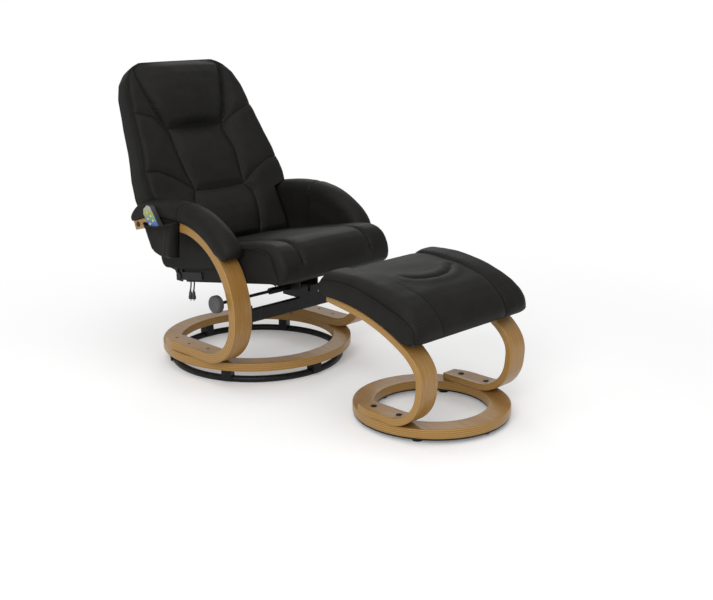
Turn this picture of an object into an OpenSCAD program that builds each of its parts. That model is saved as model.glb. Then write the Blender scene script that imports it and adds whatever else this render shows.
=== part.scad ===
// Swivelling massage recliner with a bentwood frame, and its footstool.
// Millimetres. Origin: the swivel axis on the floor. +Z up, the sitter faces -Y.

/* [Base ring] */
// How far the plywood ring stands out past the arms
ring_out = 6; // [2:1:14]
// Width of the plywood ring from its inside to its outside edge
ring_w = 60; // [54:1:66]
// Thickness of the plywood ring
ring_t = 27.5; // [24:0.5:32]
// Diameter of the steel floor ring's tube
tube_d = 22; // [20:0.5:24]
// From the plywood ring's edge in to the middle of the floor ring's tube
floor_ring_in = 37; // [33:1:42]
// Height between the tube and the plywood ring
ring_lift = 25.5; // [20:0.5:32]
// Number of saddles between the plywood ring and the floor ring
saddle_count = 6; // [4:1:8]
// Width of a saddle along the ring
saddle_w = 32; // [28:1:38]

/* [Arms] */
// Gap between the seat cushion and an arm
arm_gap = 6; // [4:1:10]
// Width of a bentwood strip
strip_w = 70; // [66:1:72]
// Thickness of a bentwood strip
strip_t = 30; // [26:0.5:32]
// How far a foot reaches behind the swivel axis
foot_back = 117; // [105:1:125]
// Straight length of a foot
foot_l = 233; // [225:1:240]
// Radius of the bend from the foot to the upright
heel_r = 137; // [130:1:142]
// Radius of the bend from the upright to the armrest
front_r = 252; // [246:1:258]
// Radius of the drooping rear of the armrest
rear_r = 490; // [460:5:520]
// Spacing of the foot bolts along the foot
foot_bolt_gap = 83; // [70:1:88]
// Diameter of a foot bolt's shank
bolt_d = 8; // [6:0.5:10]
// Diameter of a foot bolt's head
bolt_head_d = 17; // [15:0.5:19]
// Width of an arm pad
pad_w = 82; // [78:1:84]
// Thickness of an arm pad at its front
pad_t = 72; // [64:1:76]

/* [Crossbar and glide] */
// Height of the crossbar's middle above the floor
crossbar_z = 241; // [234:1:246]
// Depth of the crossbar, front to back
crossbar_d = 20; // [18:1:24]
// Height of the crossbar
crossbar_h = 38; // [34:1:42]
// Wall of the crossbar's tube
tube_wall = 2; // [1.5:0.5:3]
// Width of the glide bracket on the crossbar
bracket_w = 80; // [76:1:86]
// Length of the glide rails
rail_l = 330; // [300:5:340]
// Distance between the two glide rails
rail_gap = 124; // [120:1:130]
// Travel of the seat on its rails
seat_travel = 60; // [40:1:60]
// Diameter of the locking rod
rod_d = 10; // [8:0.5:12]
// Distance of the locking rod behind the crossbar's middle
rod_back = 48; // [45:1:50]
// Diameter of the locking knob
knob_d = 56; // [48:1:60]
// Thickness of the locking knob
knob_t = 22; // [18:1:26]

/* [Seat] */
// Tilt of the seat, front edge up
seat_tilt = 9.5; // [9.5:0.5:9.5]
// Width of the seat cushion
seat_w = 476; // [440:2:520]
// Length of the seat's upholstered frame
seat_l = 446; // [440:1:450]
// Height of the seat's upholstered frame
frame_h = 45; // [42:1:46]
// Thickness of the seat cushion over its frame
seat_t = 70; // [62:1:74]
// How far the seat's front roll stands before its frame
seat_roll = 42; // [34:1:46]
// Wall of the upholstery cover round the seat frame
cover_t = 3; // [2:0.5:3.5]
// Thickness of the seat frame's boards
board_t = 18; // [15:1:20]

/* [Back] */
// Lean of the backrest from upright
back_lean = 28; // [28:1:28]
// How far the backrest's sides stand in from the seat cushion's
back_in = 6; // [5:0.5:8]
// How far the backrest's wings stand out over the arms
wing_out = 60; // [54:1:62]
// Height of the backrest along its lean, over the seat
back_h = 655; // [640:1:660]
// Thickness of the back cushion at its sides
back_cushion_t = 31; // [26:1:34]
// Wall of the rear shell
shell_t = 6; // [4:0.5:8]
// Fullness of the side bolsters
bolster_t = 24; // [16:1:28]
// Fullness of the headrest
head_t = 52; // [40:1:56]
// Recline of the backrest, in degrees
recline = 25; // [15:1:25]

/* [Handset and pocket] */
// Width of the handset
handset_w = 46; // [42:1:50]
// Length of the handset
handset_l = 172; // [150:1:180]
// Thickness of the handset
handset_t = 18; // [16:0.5:19]
// Lean of the handset in its pocket
handset_lean = 38; // [36:1:40]
// Travel of a handset button
button_travel = 1; // [0.5:0.1:1.4]
// Wall of the pocket
pocket_t = 2; // [1.5:0.5:2.5]

/* [Footstool] */
// Distance from the swivel axis to the middle of the footstool
stool_y = 792; // [780:1:830]
// Outside diameter of the footstool's ring
stool_ring_od = 468; // [460:1:480]
// Width of the footstool's ring
stool_ring_w = 66; // [60:1:70]
// Thickness of the footstool's ring
stool_ring_t = 27.5; // [24:0.5:30]
// Height of the glides under the footstool
glide_h = 12.5; // [10:0.5:16]
// Thickness of the black facing under the footstool's ring
facing_t = 4.5; // [3:0.5:6]
// Thickness of a footstool leg
leg_t = 21; // [19:0.5:24]
// Distance from the middle to a footstool leg's outer face
leg_x = 232; // [228:1:234]
// Width of the footstool cushion
stool_w = 500; // [480:2:540]
// Thickness of the board under the footstool cushion
stool_board_t = 10; // [8:0.5:12]

/* [Clearances] */
// Gap at a soft piece's neighbours
soft_gap = 0.3; // [0.2:0.05:0.5]
// Gap between pieces that slide or turn on each other
run_gap = 0.3; // [0.2:0.05:0.4]
// Radial gap of a pin in its bore
pin_gap = 0.05; // [0.02:0.01:0.1]

/* [Hidden] */
arm_x = seat_w / 2 + arm_gap + strip_w;
ring_od = 2 * (arm_x + ring_out);
floor_ring_d = ring_od - 2 * floor_ring_in;
back_w = seat_w - 2 * back_in;
wing_w = back_w + 2 * wing_out;
$fn = 48;

// Colours
beech = [0.80, 0.62, 0.36];
leather = [0.13, 0.12, 0.12];
black_steel = [0.10, 0.10, 0.11];
bright_steel = [0.70, 0.70, 0.72];
grey_plastic = [0.22, 0.22, 0.23];
pale_board = [0.74, 0.62, 0.44];
webbing_tan = [0.55, 0.45, 0.32];

// Heights of the base
floor_flat = 0.5;
tube_z = tube_d / 2 - floor_flat;
ring_z = tube_d - floor_flat + ring_lift;
ring_top = ring_z + ring_t;
ring_mid_r = ring_od / 2 - ring_w / 2;

// ---- Bent strips: a path is a list of straights [length] and bends [radius, angle] ----
// A pose is [y, z, heading]; heading 180 runs forward, and bends turn it down to 0.
function bend_length(piece) = len(piece) == 1 ? piece[0] : piece[0] * piece[1] * PI / 180;
function along(pose, piece, s) = len(piece) == 1
    ? [pose[0] + s * cos(pose[2]), pose[1] + s * sin(pose[2]), pose[2]]
    : let (turn = s / piece[0] * 180 / PI,
           cy = pose[0] + piece[0] * cos(pose[2] - 90),
           cz = pose[1] + piece[0] * sin(pose[2] - 90),
           h = pose[2] - turn)
      [cy - piece[0] * cos(h - 90), cz - piece[0] * sin(h - 90), h];
function path_length(path, i = 0) =
    i == len(path) ? 0 : bend_length(path[i]) + path_length(path, i + 1);
function pose_at(start, path, s, i = 0) =
    let (piece_l = bend_length(path[i]))
    i == len(path) - 1 || s <= piece_l
        ? along(start, path[i], s)
        : pose_at(along(start, path[i], piece_l), path, s - piece_l, i + 1);
// Point beside a pose: out is positive on the outside of the bends
function beside(pose, out) = [pose[0] + out * cos(pose[2] + 90), pose[1] + out * sin(pose[2] + 90)];
function path_stops(path, i = 0, s = 0) = i == len(path) ? [s]
    : let (piece_l = bend_length(path[i]), n = len(path[i]) == 1 ? 1 : ceil(piece_l / 12))
      concat([for (k = [0 : n - 1]) s + piece_l * k / n], path_stops(path, i + 1, s + piece_l));

// Draws a side outline given in [y, z] as a plate from x = 0 to x = w
module side_plate(w) {
    rotate([90, 0, 90])
        linear_extrude(w)
            children();
}

module bent_strip(start, path, from_s, to_s, inner, outer, w) {
    stops = concat([from_s], [for (s = path_stops(path)) if (s > from_s && s < to_s) s], [to_s]);
    poses = [for (s = stops) pose_at(start, path, s)];
    side_plate(w)
        polygon(concat([for (p = poses) beside(p, outer)],
                       [for (i = [len(poses) - 1 : -1 : 0]) beside(poses[i], -inner)]));
}

// The arm's path, from the rear end of the foot round to the rear end of the armrest
arm_start = [foot_back, ring_top + strip_t / 2, 180];
arm_path = [[foot_l], [heel_r, 86], [8], [front_r, 91], [50], [rear_r, 24.5]];
arm_l = path_length(arm_path);
arm_in = arm_x - strip_w;
upright_pose = pose_at(arm_start, arm_path, bend_length(arm_path[0]) + bend_length(arm_path[1]) + 8);
bar_y = upright_pose[0];
bar_top = crossbar_z + crossbar_h / 2;

// The backrest pivots on a bolt near the rear end of each arm
pivot_inset = 24;
pivot = pose_at(arm_start, arm_path, arm_l - pivot_inset);

// ---- Soft forms: one closed skin over rings that hold the same number of points ----
// Each ring is a lower row and an upper row that runs back over it
function skin_sides(n, m) = [for (i = [0 : n - 2], j = [0 : m - 1])
    each [[i * m + j, (i + 1) * m + j, i * m + (j + 1) % m],
          [i * m + (j + 1) % m, (i + 1) * m + j, (i + 1) * m + (j + 1) % m]]];
function cap(m, base, flip) = [for (i = [0 : m / 2 - 2])
    let (a = base + i, b = base + i + 1, c = base + m - 2 - i, d = base + m - 1 - i)
    each (flip ? [[a, b, d], [b, c, d]] : [[a, d, b], [b, d, c]])];
module skin(rings) {
    m = len(rings[0]);
    n = len(rings);
    polyhedron([for (r = rings) each r],
               concat(skin_sides(n, m), cap(m, 0, true), cap(m, (n - 1) * m, false)));
}
function reversed(list) = [for (i = [len(list) - 1 : -1 : 0]) list[i]];
function mirrored(list) = concat([for (v = list) -v], [0], reversed(list));
// How deep a seam pulls the cover in, at a distance from the seam
function dip(distance, reach) = exp(-pow(distance / reach, 2));
// How far a rounded end is drawn in, t = 1 at the very end
function round_in(t) = 1 - sqrt(max(0, 1 - t * t));
function smooth(t) = let (c = min(1, max(0, t))) c * c * (3 - 2 * c);

// ======================= Base =======================
module floor_ring() {
    color(black_steel)
        difference() {
            translate([0, 0, tube_z])
                rotate_extrude($fn = 120)
                    translate([floor_ring_d / 2, 0])
                        circle(d = tube_d);
            translate([-floor_ring_d, -floor_ring_d, -tube_d])
                cube([2 * floor_ring_d, 2 * floor_ring_d, tube_d]);
        }
}

saddle_wall = 6.5;
saddle_angles = [for (i = [0 : saddle_count - 1]) -90 + 360 / saddle_count * i];
saddle_screw_gap = 9;
saddle_screw_d = 4;
saddle_head_d = 8;
saddle_head_t = 2.5;
groove_roof = tube_z + tube_d / 2 + run_gap;

// Tops of the foot bolts' pattern on one side: [x, y]
function foot_bolt_at(side, i) = [side * sqrt(pow(ring_mid_r, 2) - pow(i * foot_bolt_gap, 2)),
                                  i * foot_bolt_gap];
foot_bolts_at = [for (side = [-1, 1], i = [-1 : 1]) foot_bolt_at(side, i)];

module base_ring() {
    color(beech)
        difference() {
            translate([0, 0, ring_z])
                rotate_extrude($fn = 120)
                    translate([ring_od / 2 - ring_w, 0])
                        square([ring_w, ring_t]);
            for (p = foot_bolts_at)
                translate([p[0], p[1], ring_z - 1])
                    cylinder(d = bolt_d + 4, h = ring_t + 2);
            for (a = saddle_angles, k = [-1, 1])
                rotate([0, 0, a])
                    translate([floor_ring_d / 2, k * saddle_screw_gap, ring_z - 1])
                        cylinder(d = saddle_screw_d + 2 * pin_gap, h = 17);
        }
}

// Black saddles under the plywood ring ride on the floor ring's tube
module ring_saddles() {
    saddle_foot = tube_z - 3.5;
    turn = saddle_w / floor_ring_d * 360 / PI;
    color(black_steel)
        for (a = saddle_angles)
            rotate([0, 0, a])
                difference() {
                    rotate([0, 0, -turn / 2])
                        rotate_extrude(angle = turn, $fn = 120)
                            difference() {
                                translate([floor_ring_d / 2 - tube_d / 2 - saddle_wall, saddle_foot])
                                    square([tube_d + 2 * saddle_wall, ring_z - saddle_foot]);
                                translate([floor_ring_d / 2, tube_z])
                                    circle(d = tube_d + 2 * run_gap);
                                translate([floor_ring_d / 2 - tube_d / 2 + 0.2, 0])
                                    square([tube_d - 0.4, tube_z]);
                            }
                    for (k = [-1, 1])
                        translate([floor_ring_d / 2, k * saddle_screw_gap, 0]) {
                            cylinder(d = saddle_screw_d + 2 * pin_gap, h = ring_z + 1);
                            cylinder(d = saddle_head_d + 0.4, h = groove_roof + saddle_head_t + 1);
                        }
                }
}

module saddle_screws() {
    color(bright_steel)
        for (a = saddle_angles, k = [-1, 1])
            rotate([0, 0, a])
                translate([floor_ring_d / 2, k * saddle_screw_gap, groove_roof + 1]) {
                    cylinder(d = saddle_head_d, h = saddle_head_t);
                    cylinder(d = saddle_screw_d, h = ring_z + 14 - groove_roof);
                }
}

// ======================= Arms =======================
head_recess = 6;
counterbore_d = bolt_head_d + 3;

module arm_frame(side) {
    out = strip_t / 2;
    pad_screw_poses = [for (s = pad_screws_s) pose_at(arm_start, arm_path, s)];
    color(beech)
        difference() {
            translate([side < 0 ? -arm_x : arm_in, 0, 0])
                bent_strip(arm_start, arm_path, 0, arm_l, out, out, strip_w);
            // The rear corner of the foot follows the plywood ring
            difference() {
                translate([side < 0 ? -arm_x - 5 : arm_in, 1, ring_top - 1])
                    cube([strip_w + 5, foot_back + 10, strip_t + 2]);
                translate([0, 0, ring_z])
                    cylinder(d = ring_od, h = ring_t + strip_t + 10, $fn = 120);
            }
            for (p = [for (q = foot_bolts_at) if (q[0] * side > 0) q])
                translate([p[0], p[1], ring_top]) {
                    translate([0, 0, -1])
                        cylinder(d = bolt_d + 1, h = strip_t + 2);
                    translate([0, 0, strip_t - head_recess])
                        cylinder(d = counterbore_d, h = head_recess + 1);
                }
            for (k = [-1, 1])
                translate([side * (arm_in - 1), bar_y, crossbar_z + k * bar_screw_gap])
                    rotate([0, side * 90, 0])
                        cylinder(d = bar_screw_d + 2 * pin_gap, h = bar_screw_l + 1);
            translate([side * (arm_in - 1), pivot[0], pivot[1]])
                rotate([0, side * 90, 0])
                    cylinder(d = pivot_d + 2 * pin_gap, h = strip_w + 2);
            for (p = pad_screw_poses)
                translate([side * (arm_x - strip_w / 2), p[0], p[1]])
                    rotate([p[2], 0, 0]) {
                        translate([0, 0, -strip_t])
                            cylinder(d = pad_screw_d + 2 * pin_gap, h = 2 * strip_t);
                    }
        }
}
module right_arm_frame() { arm_frame(-1); }
module left_arm_frame() { arm_frame(1); }

module foot_bolts() {
    head_z = ring_top + strip_t - head_recess;
    color(bright_steel)
        for (p = foot_bolts_at)
            translate([p[0], p[1], 0])
                difference() {
                    union() {
                        translate([0, 0, head_z])
                            cylinder(d = bolt_head_d, h = 5);
                        translate([0, 0, ring_z - nut_t])
                            cylinder(d = bolt_d, h = head_z - ring_z + nut_t + 1);
                    }
                    translate([0, 0, head_z + 1.5])
                        cylinder(d = 8, h = 5, $fn = 6);
                }
}

nut_t = 2;
module foot_nuts() {
    color(bright_steel)
        for (p = foot_bolts_at)
            translate([p[0], p[1], ring_z])
                difference() {
                    union() {
                        translate([0, 0, -nut_t])
                            cylinder(d = 22, h = nut_t);
                        translate([0, 0, -1])
                            cylinder(d = bolt_d + 3.6, h = 15);
                    }
                    translate([0, 0, -nut_t - 1])
                        cylinder(d = bolt_d + 2 * pin_gap, h = 20);
                }
}

// The pad lies on the strip, from a nose that hangs before the front bend to past the rear end.
// Rings along it: [foot's place on the strip, top's place, share of the height, share of the width]
pad_rings = [[660, 633, 0.38, 0.84], [663, 634, 0.585, 0.92], [668, 640, 0.745, 0.97],
    [675, 652, 0.835, 1], [686, 669, 0.9, 1], [702, 690, 0.92, 1], [724, 716, 0.895, 1],
    [752, 749, 0.89, 1], [786, 786, 0.885, 1], [803, 803, 0.87, 1], [822, 822, 0.857, 1],
    [841, 841, 0.853, 1], [862, 862, 0.845, 1], [900, 900, 0.82, 1], [940, 940, 0.775, 1],
    [983, 983, 0.74, 1], [1025, 1025, 0.74, 1], [1050, 1052, 0.735, 1], [1066, 1070, 0.715, 1],
    [1080, 1086, 0.63, 0.99], [1092, 1099, 0.51, 0.97], [1102, 1109, 0.38, 0.94],
    [1108, 1116, 0.27, 0.9], [1112, 1120, 0.16, 0.84]];
pad_mid = arm_x - strip_w / 2 + 3;
pad_gap = soft_gap + 0.5;
pad_screws_s = [800, 1010];
pad_screw_d = 5;
pad_screw_in = 14;
// Across the pad's top, from its inner side to its outer side: [share of width, share of height]
pad_section = [[0.985, 0.12], [1, 0.38], [0.8, 0.76], [0.42, 0.955], [0, 1],
    [-0.42, 0.955], [-0.8, 0.76], [-1, 0.38], [-0.985, 0.12]];

function pad_ring(side, ring) = let (
        h = ring[2] * pad_t,
        lower = [for (c = [-0.97, -0.8, -0.6, -0.3, 0, 0.3, 0.6, 0.8, 0.97]) [c, 0]],
        upper = pad_section)
    [for (q = concat(lower, upper))
        let (t = smooth(min(1, q[1] * 1.4)),
             b = beside(pose_at(arm_start, arm_path, ring[0] + (ring[1] - ring[0]) * t),
                        strip_t / 2 + pad_gap + q[1] * h))
        [side * (pad_mid - ring[3] * q[0] * pad_w / 2), b[0], b[1]]];

module arm_pad(side) {
    rings = [for (r = pad_rings) pad_ring(side, r)];
    color(leather)
        difference() {
            skin(side > 0 ? rings : [for (r = rings) reversed(r)]);
            for (s = pad_screws_s)
                let (p = pose_at(arm_start, arm_path, s))
                translate([side * (arm_x - strip_w / 2), p[0], p[1]])
                    rotate([p[2], 0, 0])
                        translate([0, 0, strip_t / 2 - 1])
                            cylinder(d = pad_screw_d + 2 * pin_gap, h = pad_screw_in + 2);
        }
}

// The pads' leather runs down the inner side of the loops, past the strips, to below the seat.
// It stands back from the seat's bolt heads there, and is a thin skin over the strip's inner face.
lining_t = 9.6;
lining_in = 2.4;
lining_skin = 2.7;
lining_wrap = 9;
lining_lap = 6;
lining_low = [[-203, 382], [74, 335], [160, 325], [176, 334], [184, 362], [192, 397], [199, 430],
    [196, 468]];
module arm_lining(side) {
    deep = side < 0 ? -arm_in - lining_in - lining_t : arm_in + lining_in;
    thin = side < 0 ? -arm_in + soft_gap : arm_in - soft_gap - lining_skin;
    wide = side < 0 ? thin - lining_wrap + lining_skin : thin;
    color(leather) {
        difference() {
            translate([deep, 0, 0])
                side_plate(lining_t)
                    polygon(concat(lining_low, [for (s = [1075 : -23 : 615])
                        beside(pose_at(arm_start, arm_path, s), 0)]));
            translate([deep - 1, 0, 0])
                bent_strip(arm_start, arm_path, 540, 1100,
                           strip_t / 2 + soft_gap, strip_t / 2 + soft_gap, lining_t + 2);
        }
        translate([thin, 0, 0])
            bent_strip(arm_start, arm_path, 640, 1058,
                       strip_t / 2 + lining_lap, strip_t / 2 + pad_gap + lining_lap, lining_skin);
        translate([wide, 0, 0])
            bent_strip(arm_start, arm_path, 652, 1050,
                       strip_t / 2 + lining_lap, -strip_t / 2 - soft_gap, lining_wrap);
        translate([wide, 0, 0])
            bent_strip(arm_start, arm_path, 690, 1040,
                       -strip_t / 2 - pad_gap, strip_t / 2 + pad_gap + lining_lap, lining_wrap);
    }
}
module right_arm_pad() { union() { arm_pad(-1); arm_lining(-1); } }
module left_arm_pad() { union() { arm_pad(1); arm_lining(1); } }

// Screws run from under the strip up into the pads
module arm_pad_screws() {
    color(black_steel)
        for (side = [-1, 1], s = pad_screws_s)
            let (p = pose_at(arm_start, arm_path, s))
            translate([side * (arm_x - strip_w / 2), p[0], p[1]])
                rotate([p[2], 0, 0]) {
                    translate([0, 0, -strip_t / 2 - 2.7])
                        cylinder(d = 11, h = 2.5);
                    translate([0, 0, -strip_t / 2 - 1])
                        cylinder(d = pad_screw_d, h = strip_t + pad_screw_in + 1);
                }
}

// ======================= Crossbar and glide =======================
bar_plate_t = 4;
bar_screw_gap = 27;
bar_screw_d = 6;
bar_screw_l = 40;
bar_plate_h = 2 * bar_screw_gap + 16;

module crossbar() {
    color(black_steel)
        difference() {
            union() {
                translate([-arm_in, bar_y - crossbar_d / 2, crossbar_z - crossbar_h / 2])
                    cube([2 * arm_in, crossbar_d, crossbar_h]);
                for (side = [-1, 1])
                    translate([side * (arm_in - bar_plate_t / 2), bar_y, crossbar_z])
                        cube([bar_plate_t, strip_t - 4, bar_plate_h], center = true);
            }
            translate([-arm_in - 1, bar_y - crossbar_d / 2 + tube_wall,
                       crossbar_z - crossbar_h / 2 + tube_wall])
                cube([2 * arm_in + 2, crossbar_d - 2 * tube_wall, crossbar_h - 2 * tube_wall]);
            for (k = [-1, 1])
                translate([-arm_in - 1, bar_y, crossbar_z + k * bar_screw_gap])
                    rotate([0, 90, 0])
                        cylinder(d = bar_screw_d + 2 * pin_gap, h = 2 * arm_in + 2);
        }
}

module crossbar_screws() {
    color(bright_steel)
        for (side = [-1, 1], k = [-1, 1])
            translate([side * (arm_in - bar_plate_t), bar_y, crossbar_z + k * bar_screw_gap])
                rotate([0, side * 90, 0]) {
                    cylinder(d = bar_screw_d, h = bar_screw_l);
                    translate([0, 0, -3])
                        cylinder(d = 11, h = 3);
                }
}

// The seat's own frame: origin at its rear lower edge, -Y forward along the rails
seat_rear = [73, 288];
module on_seat() {
    translate([0, seat_rear[0], seat_rear[1]])
        rotate([-seat_tilt, 0, 0])
            children();
}
// Place in the seat's frame of a point [y, z] of the chair
function to_seat(p) = let (y = p[0] - seat_rear[0], z = p[1] - seat_rear[1])
    [y * cos(seat_tilt) - z * sin(seat_tilt), y * sin(seat_tilt) + z * cos(seat_tilt)];

rail_h = 15;
rail_wide = 26;
runner_top_t = 3;
rail_drop = run_gap + runner_top_t;
rail_under = rail_drop + rail_h;
flange_t = 4;
ear_t = 4;
rod_y = bar_y + rod_back;
rod_z = 287;
rod_in_seat = to_seat([rod_y, rod_z]);
bracket_back = 82;
bar_in_seat = to_seat([bar_y, bar_top]);
flange_y = bar_in_seat[0] - crossbar_d / 2;

// Welded bracket: a front web and two ears on the crossbar, with a flange out to each rail
module glide_bracket() {
    sleeve_l = 78;
    web_h = 34;
    ear_x = bracket_w / 2 - ear_t;
    color(black_steel)
        difference() {
            union() {
                translate([-bracket_w / 2, bar_y - crossbar_d / 2, bar_top])
                    cube([bracket_w, ear_t, web_h]);
                translate([-bracket_w / 2, bar_y - crossbar_d / 2, bar_top])
                    cube([bracket_w, bracket_back, ear_t]);
                difference() {
                    for (side = [-1, 1])
                        translate([side > 0 ? ear_x : -bracket_w / 2, bar_y - crossbar_d / 2, bar_top])
                            cube([ear_t, bracket_back, 80]);
                    on_seat()
                        translate([-200, -seat_l, -rail_under - flange_t])
                            cube([400, seat_l + 50, 200]);
                }
                on_seat()
                    for (side = [-1, 1])
                        translate([side > 0 ? ear_x : -rail_gap / 2 - rail_wide / 2,
                                   flange_y, -rail_under - flange_t])
                            cube([rail_gap / 2 + rail_wide / 2 - ear_x, bracket_back, flange_t]);
                translate([-bracket_w / 2 - sleeve_l, rod_y, rod_z])
                    rotate([0, 90, 0])
                        cylinder(d = 21, h = sleeve_l + 1);
            }
            translate([-bracket_w / 2 - sleeve_l - 1, rod_y, rod_z])
                rotate([0, 90, 0])
                    cylinder(d = rod_d + 2 * pin_gap, h = bracket_w + sleeve_l + 2);
            // Notch that lets the lock plate's nose through
            translate([-5, bar_y - crossbar_d, bar_top + 16])
                cube([10, 2 * crossbar_d, web_h]);
        }
}

// Two rails with a head and a waist, bolted on the bracket's flanges
module glide_rails() {
    color(bright_steel)
        on_seat()
            for (side = [-1, 1])
                translate([side * rail_gap / 2, rail_start, -rail_under]) {
                    translate([-rail_wide / 2, 0, 0])
                        cube([rail_wide, rail_l, 3]);
                    translate([-4, 0, 0])
                        cube([8, rail_l, rail_h]);
                    translate([-9, 0, rail_h - 5])
                        cube([18, rail_l, 5]);
                }
}
rail_start = -395;

// Runners wrap the rail heads and carry the seat
runner_l = 250;
runner_start = -320;
module seat_runners() {
    inner_w = 18 + 2 * run_gap;
    wall = 3;
    lip_z = -rail_drop - 5 - run_gap - wall;
    color(black_steel)
        on_seat()
            for (side = [-1, 1])
                translate([side * rail_gap / 2, runner_start, 0])
                    difference() {
                        translate([-inner_w / 2 - wall, 0, lip_z])
                            cube([inner_w + 2 * wall, runner_l, -lip_z]);
                        translate([-inner_w / 2, -1, lip_z + wall])
                            cube([inner_w, runner_l + 2, 5 + 2 * run_gap]);
                        translate([-4 - run_gap, -1, lip_z - 1])
                            cube([8 + 2 * run_gap, runner_l + 2, wall + 2]);
                    }
}

// Flat steel plate under the seat with a long slot that slides past the locking rod
lock_plate_t = 3;
module lock_plate() {
    slot_w = rod_d + 2;
    foot_z = rod_in_seat[1] - slot_w / 2 - 8;
    slot_from = rod_in_seat[0];
    slot_to = rod_in_seat[0] + seat_travel;
    color(bright_steel)
        on_seat()
            difference() {
                union() {
                    translate([-lock_plate_t / 2, slot_from - 16, foot_z])
                        cube([lock_plate_t, seat_travel + 32, -foot_z]);
                    translate([-15, slot_from - 16, -3])
                        cube([30, seat_travel + 32, 3]);
                }
                translate([-5, slot_from, rod_in_seat[1] - slot_w / 2])
                    cube([10, seat_travel, slot_w]);
                for (y = [slot_from, slot_to])
                    translate([-5, y, rod_in_seat[1]])
                        rotate([0, 90, 0])
                            cylinder(d = slot_w, h = 10);
            }
}

// Two jaws on the rod squeeze the lock plate when the knob is turned
jaw_t = 9;
module clamp_jaws() {
    color(black_steel)
        for (side = [-1, 1])
            translate([side > 0 ? lock_plate_t / 2 + run_gap : -lock_plate_t / 2 - run_gap - jaw_t,
                       rod_y, rod_z])
                rotate([0, 90, 0])
                    difference() {
                        cylinder(d = 26, h = jaw_t);
                        translate([0, 0, -1])
                            cylinder(d = rod_d + 2 * pin_gap, h = jaw_t + 2);
                    }
}

knob_in = arm_x + 7;
module lock_rod() {
    color(black_steel)
        translate([-knob_in - 8, rod_y, rod_z])
            rotate([0, 90, 0]) {
                cylinder(d = rod_d, h = knob_in + 8 + bracket_w / 2 + 4);
                translate([0, 0, knob_in + 8 + bracket_w / 2 + run_gap])
                    cylinder(d = 18, h = 7, $fn = 6);
            }
}

// Round knob with a fluted rim
module lock_knob() {
    flutes = 14;
    color(grey_plastic)
        translate([-knob_in - knob_t, rod_y, rod_z])
            rotate([0, 90, 0])
                difference() {
                    union() {
                        cylinder(d = knob_d, h = knob_t);
                        cylinder(d = 20, h = knob_t + 4);
                    }
                    for (i = [0 : flutes - 1])
                        rotate([0, 0, 360 / flutes * i])
                            translate([knob_d / 2 + 2, 0, -1])
                                cylinder(d = 7, h = knob_t + 2, $fn = 24);
                    translate([0, 0, knob_t - 8])
                        cylinder(d = rod_d, h = 20);
                }
}

// ======================= Pivots and links =======================
pivot_d = 10;
hinge_x = back_w / 2 + 2.3;
hinge_t = 4;
link_t = 3.5;
link_x = hinge_x + hinge_t + 0.7;
bush_d = 20;

module pivot_bolts() {
    nut_x = hinge_x - run_gap - 4;
    color(bright_steel)
        for (side = [-1, 1])
            translate([side * nut_x, pivot[0], pivot[1]])
                rotate([0, side * 90, 0]) {
                    cylinder(d = pivot_d, h = arm_x - nut_x + 1);
                    cylinder(d = 17, h = 4, $fn = 6);
                    translate([0, 0, arm_x - nut_x])
                        cylinder(d = 16, h = 3);
                }
}

module pivot_bushes() {
    from_x = hinge_x + hinge_t + run_gap;
    color(grey_plastic)
        for (side = [-1, 1])
            translate([side * from_x, pivot[0], pivot[1]])
                rotate([0, side * 90, 0])
                    difference() {
                        cylinder(d = bush_d, h = arm_in - from_x);
                        translate([0, 0, -1])
                            cylinder(d = pivot_d + 2 * pin_gap, h = arm_in);
                    }
}

// The back's lower pins drive the seat through upright slots
link_pin = [103, 305];
link_pin_d = 10;
// Where a point [y, z] on the back goes when the back reclines by an angle
function reclined(p, angle) = let (y = p[0] - pivot[0], z = p[1] - pivot[1])
    [pivot[0] + y * cos(angle) + z * sin(angle), pivot[1] + z * cos(angle) - y * sin(angle)];
pin_up = reclined(link_pin, recline);
link_rise = pin_up[1] - link_pin[1] - seat_travel * sin(seat_tilt);
link_slot_w = 18;

module link_plates() {
    plate_w = link_slot_w + 14;
    color(black_steel)
        for (side = [-1, 1])
            difference() {
                union() {
                    translate([side > 0 ? link_x : -link_x - link_t, link_pin[0] - plate_w / 2,
                               link_pin[1] - link_slot_w / 2 - 8])
                        cube([link_t, plate_w, link_rise + link_slot_w + 16]);
                    on_seat()
                        translate([side > 0 ? link_x : -link_x - link_t, -95, 8])
                            cube([link_t, 118, 26]);
                    on_seat()
                        translate([side > 0 ? seat_in_x : -link_x - 0.5, -90, 10])
                            cube([link_x - seat_in_x + 0.5, 50, 22]);
                }
                translate([side * (link_x - 1), link_pin[0] - link_slot_w / 2, link_pin[1]])
                    translate([side > 0 ? 0 : -link_t - 2, 0, 0])
                        cube([link_t + 2, link_slot_w, link_rise]);
                for (z = [link_pin[1], link_pin[1] + link_rise])
                    translate([side * (link_x - 1), link_pin[0], z])
                        rotate([0, side * 90, 0])
                            cylinder(d = link_slot_w, h = link_t + 2);
            }
}

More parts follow.
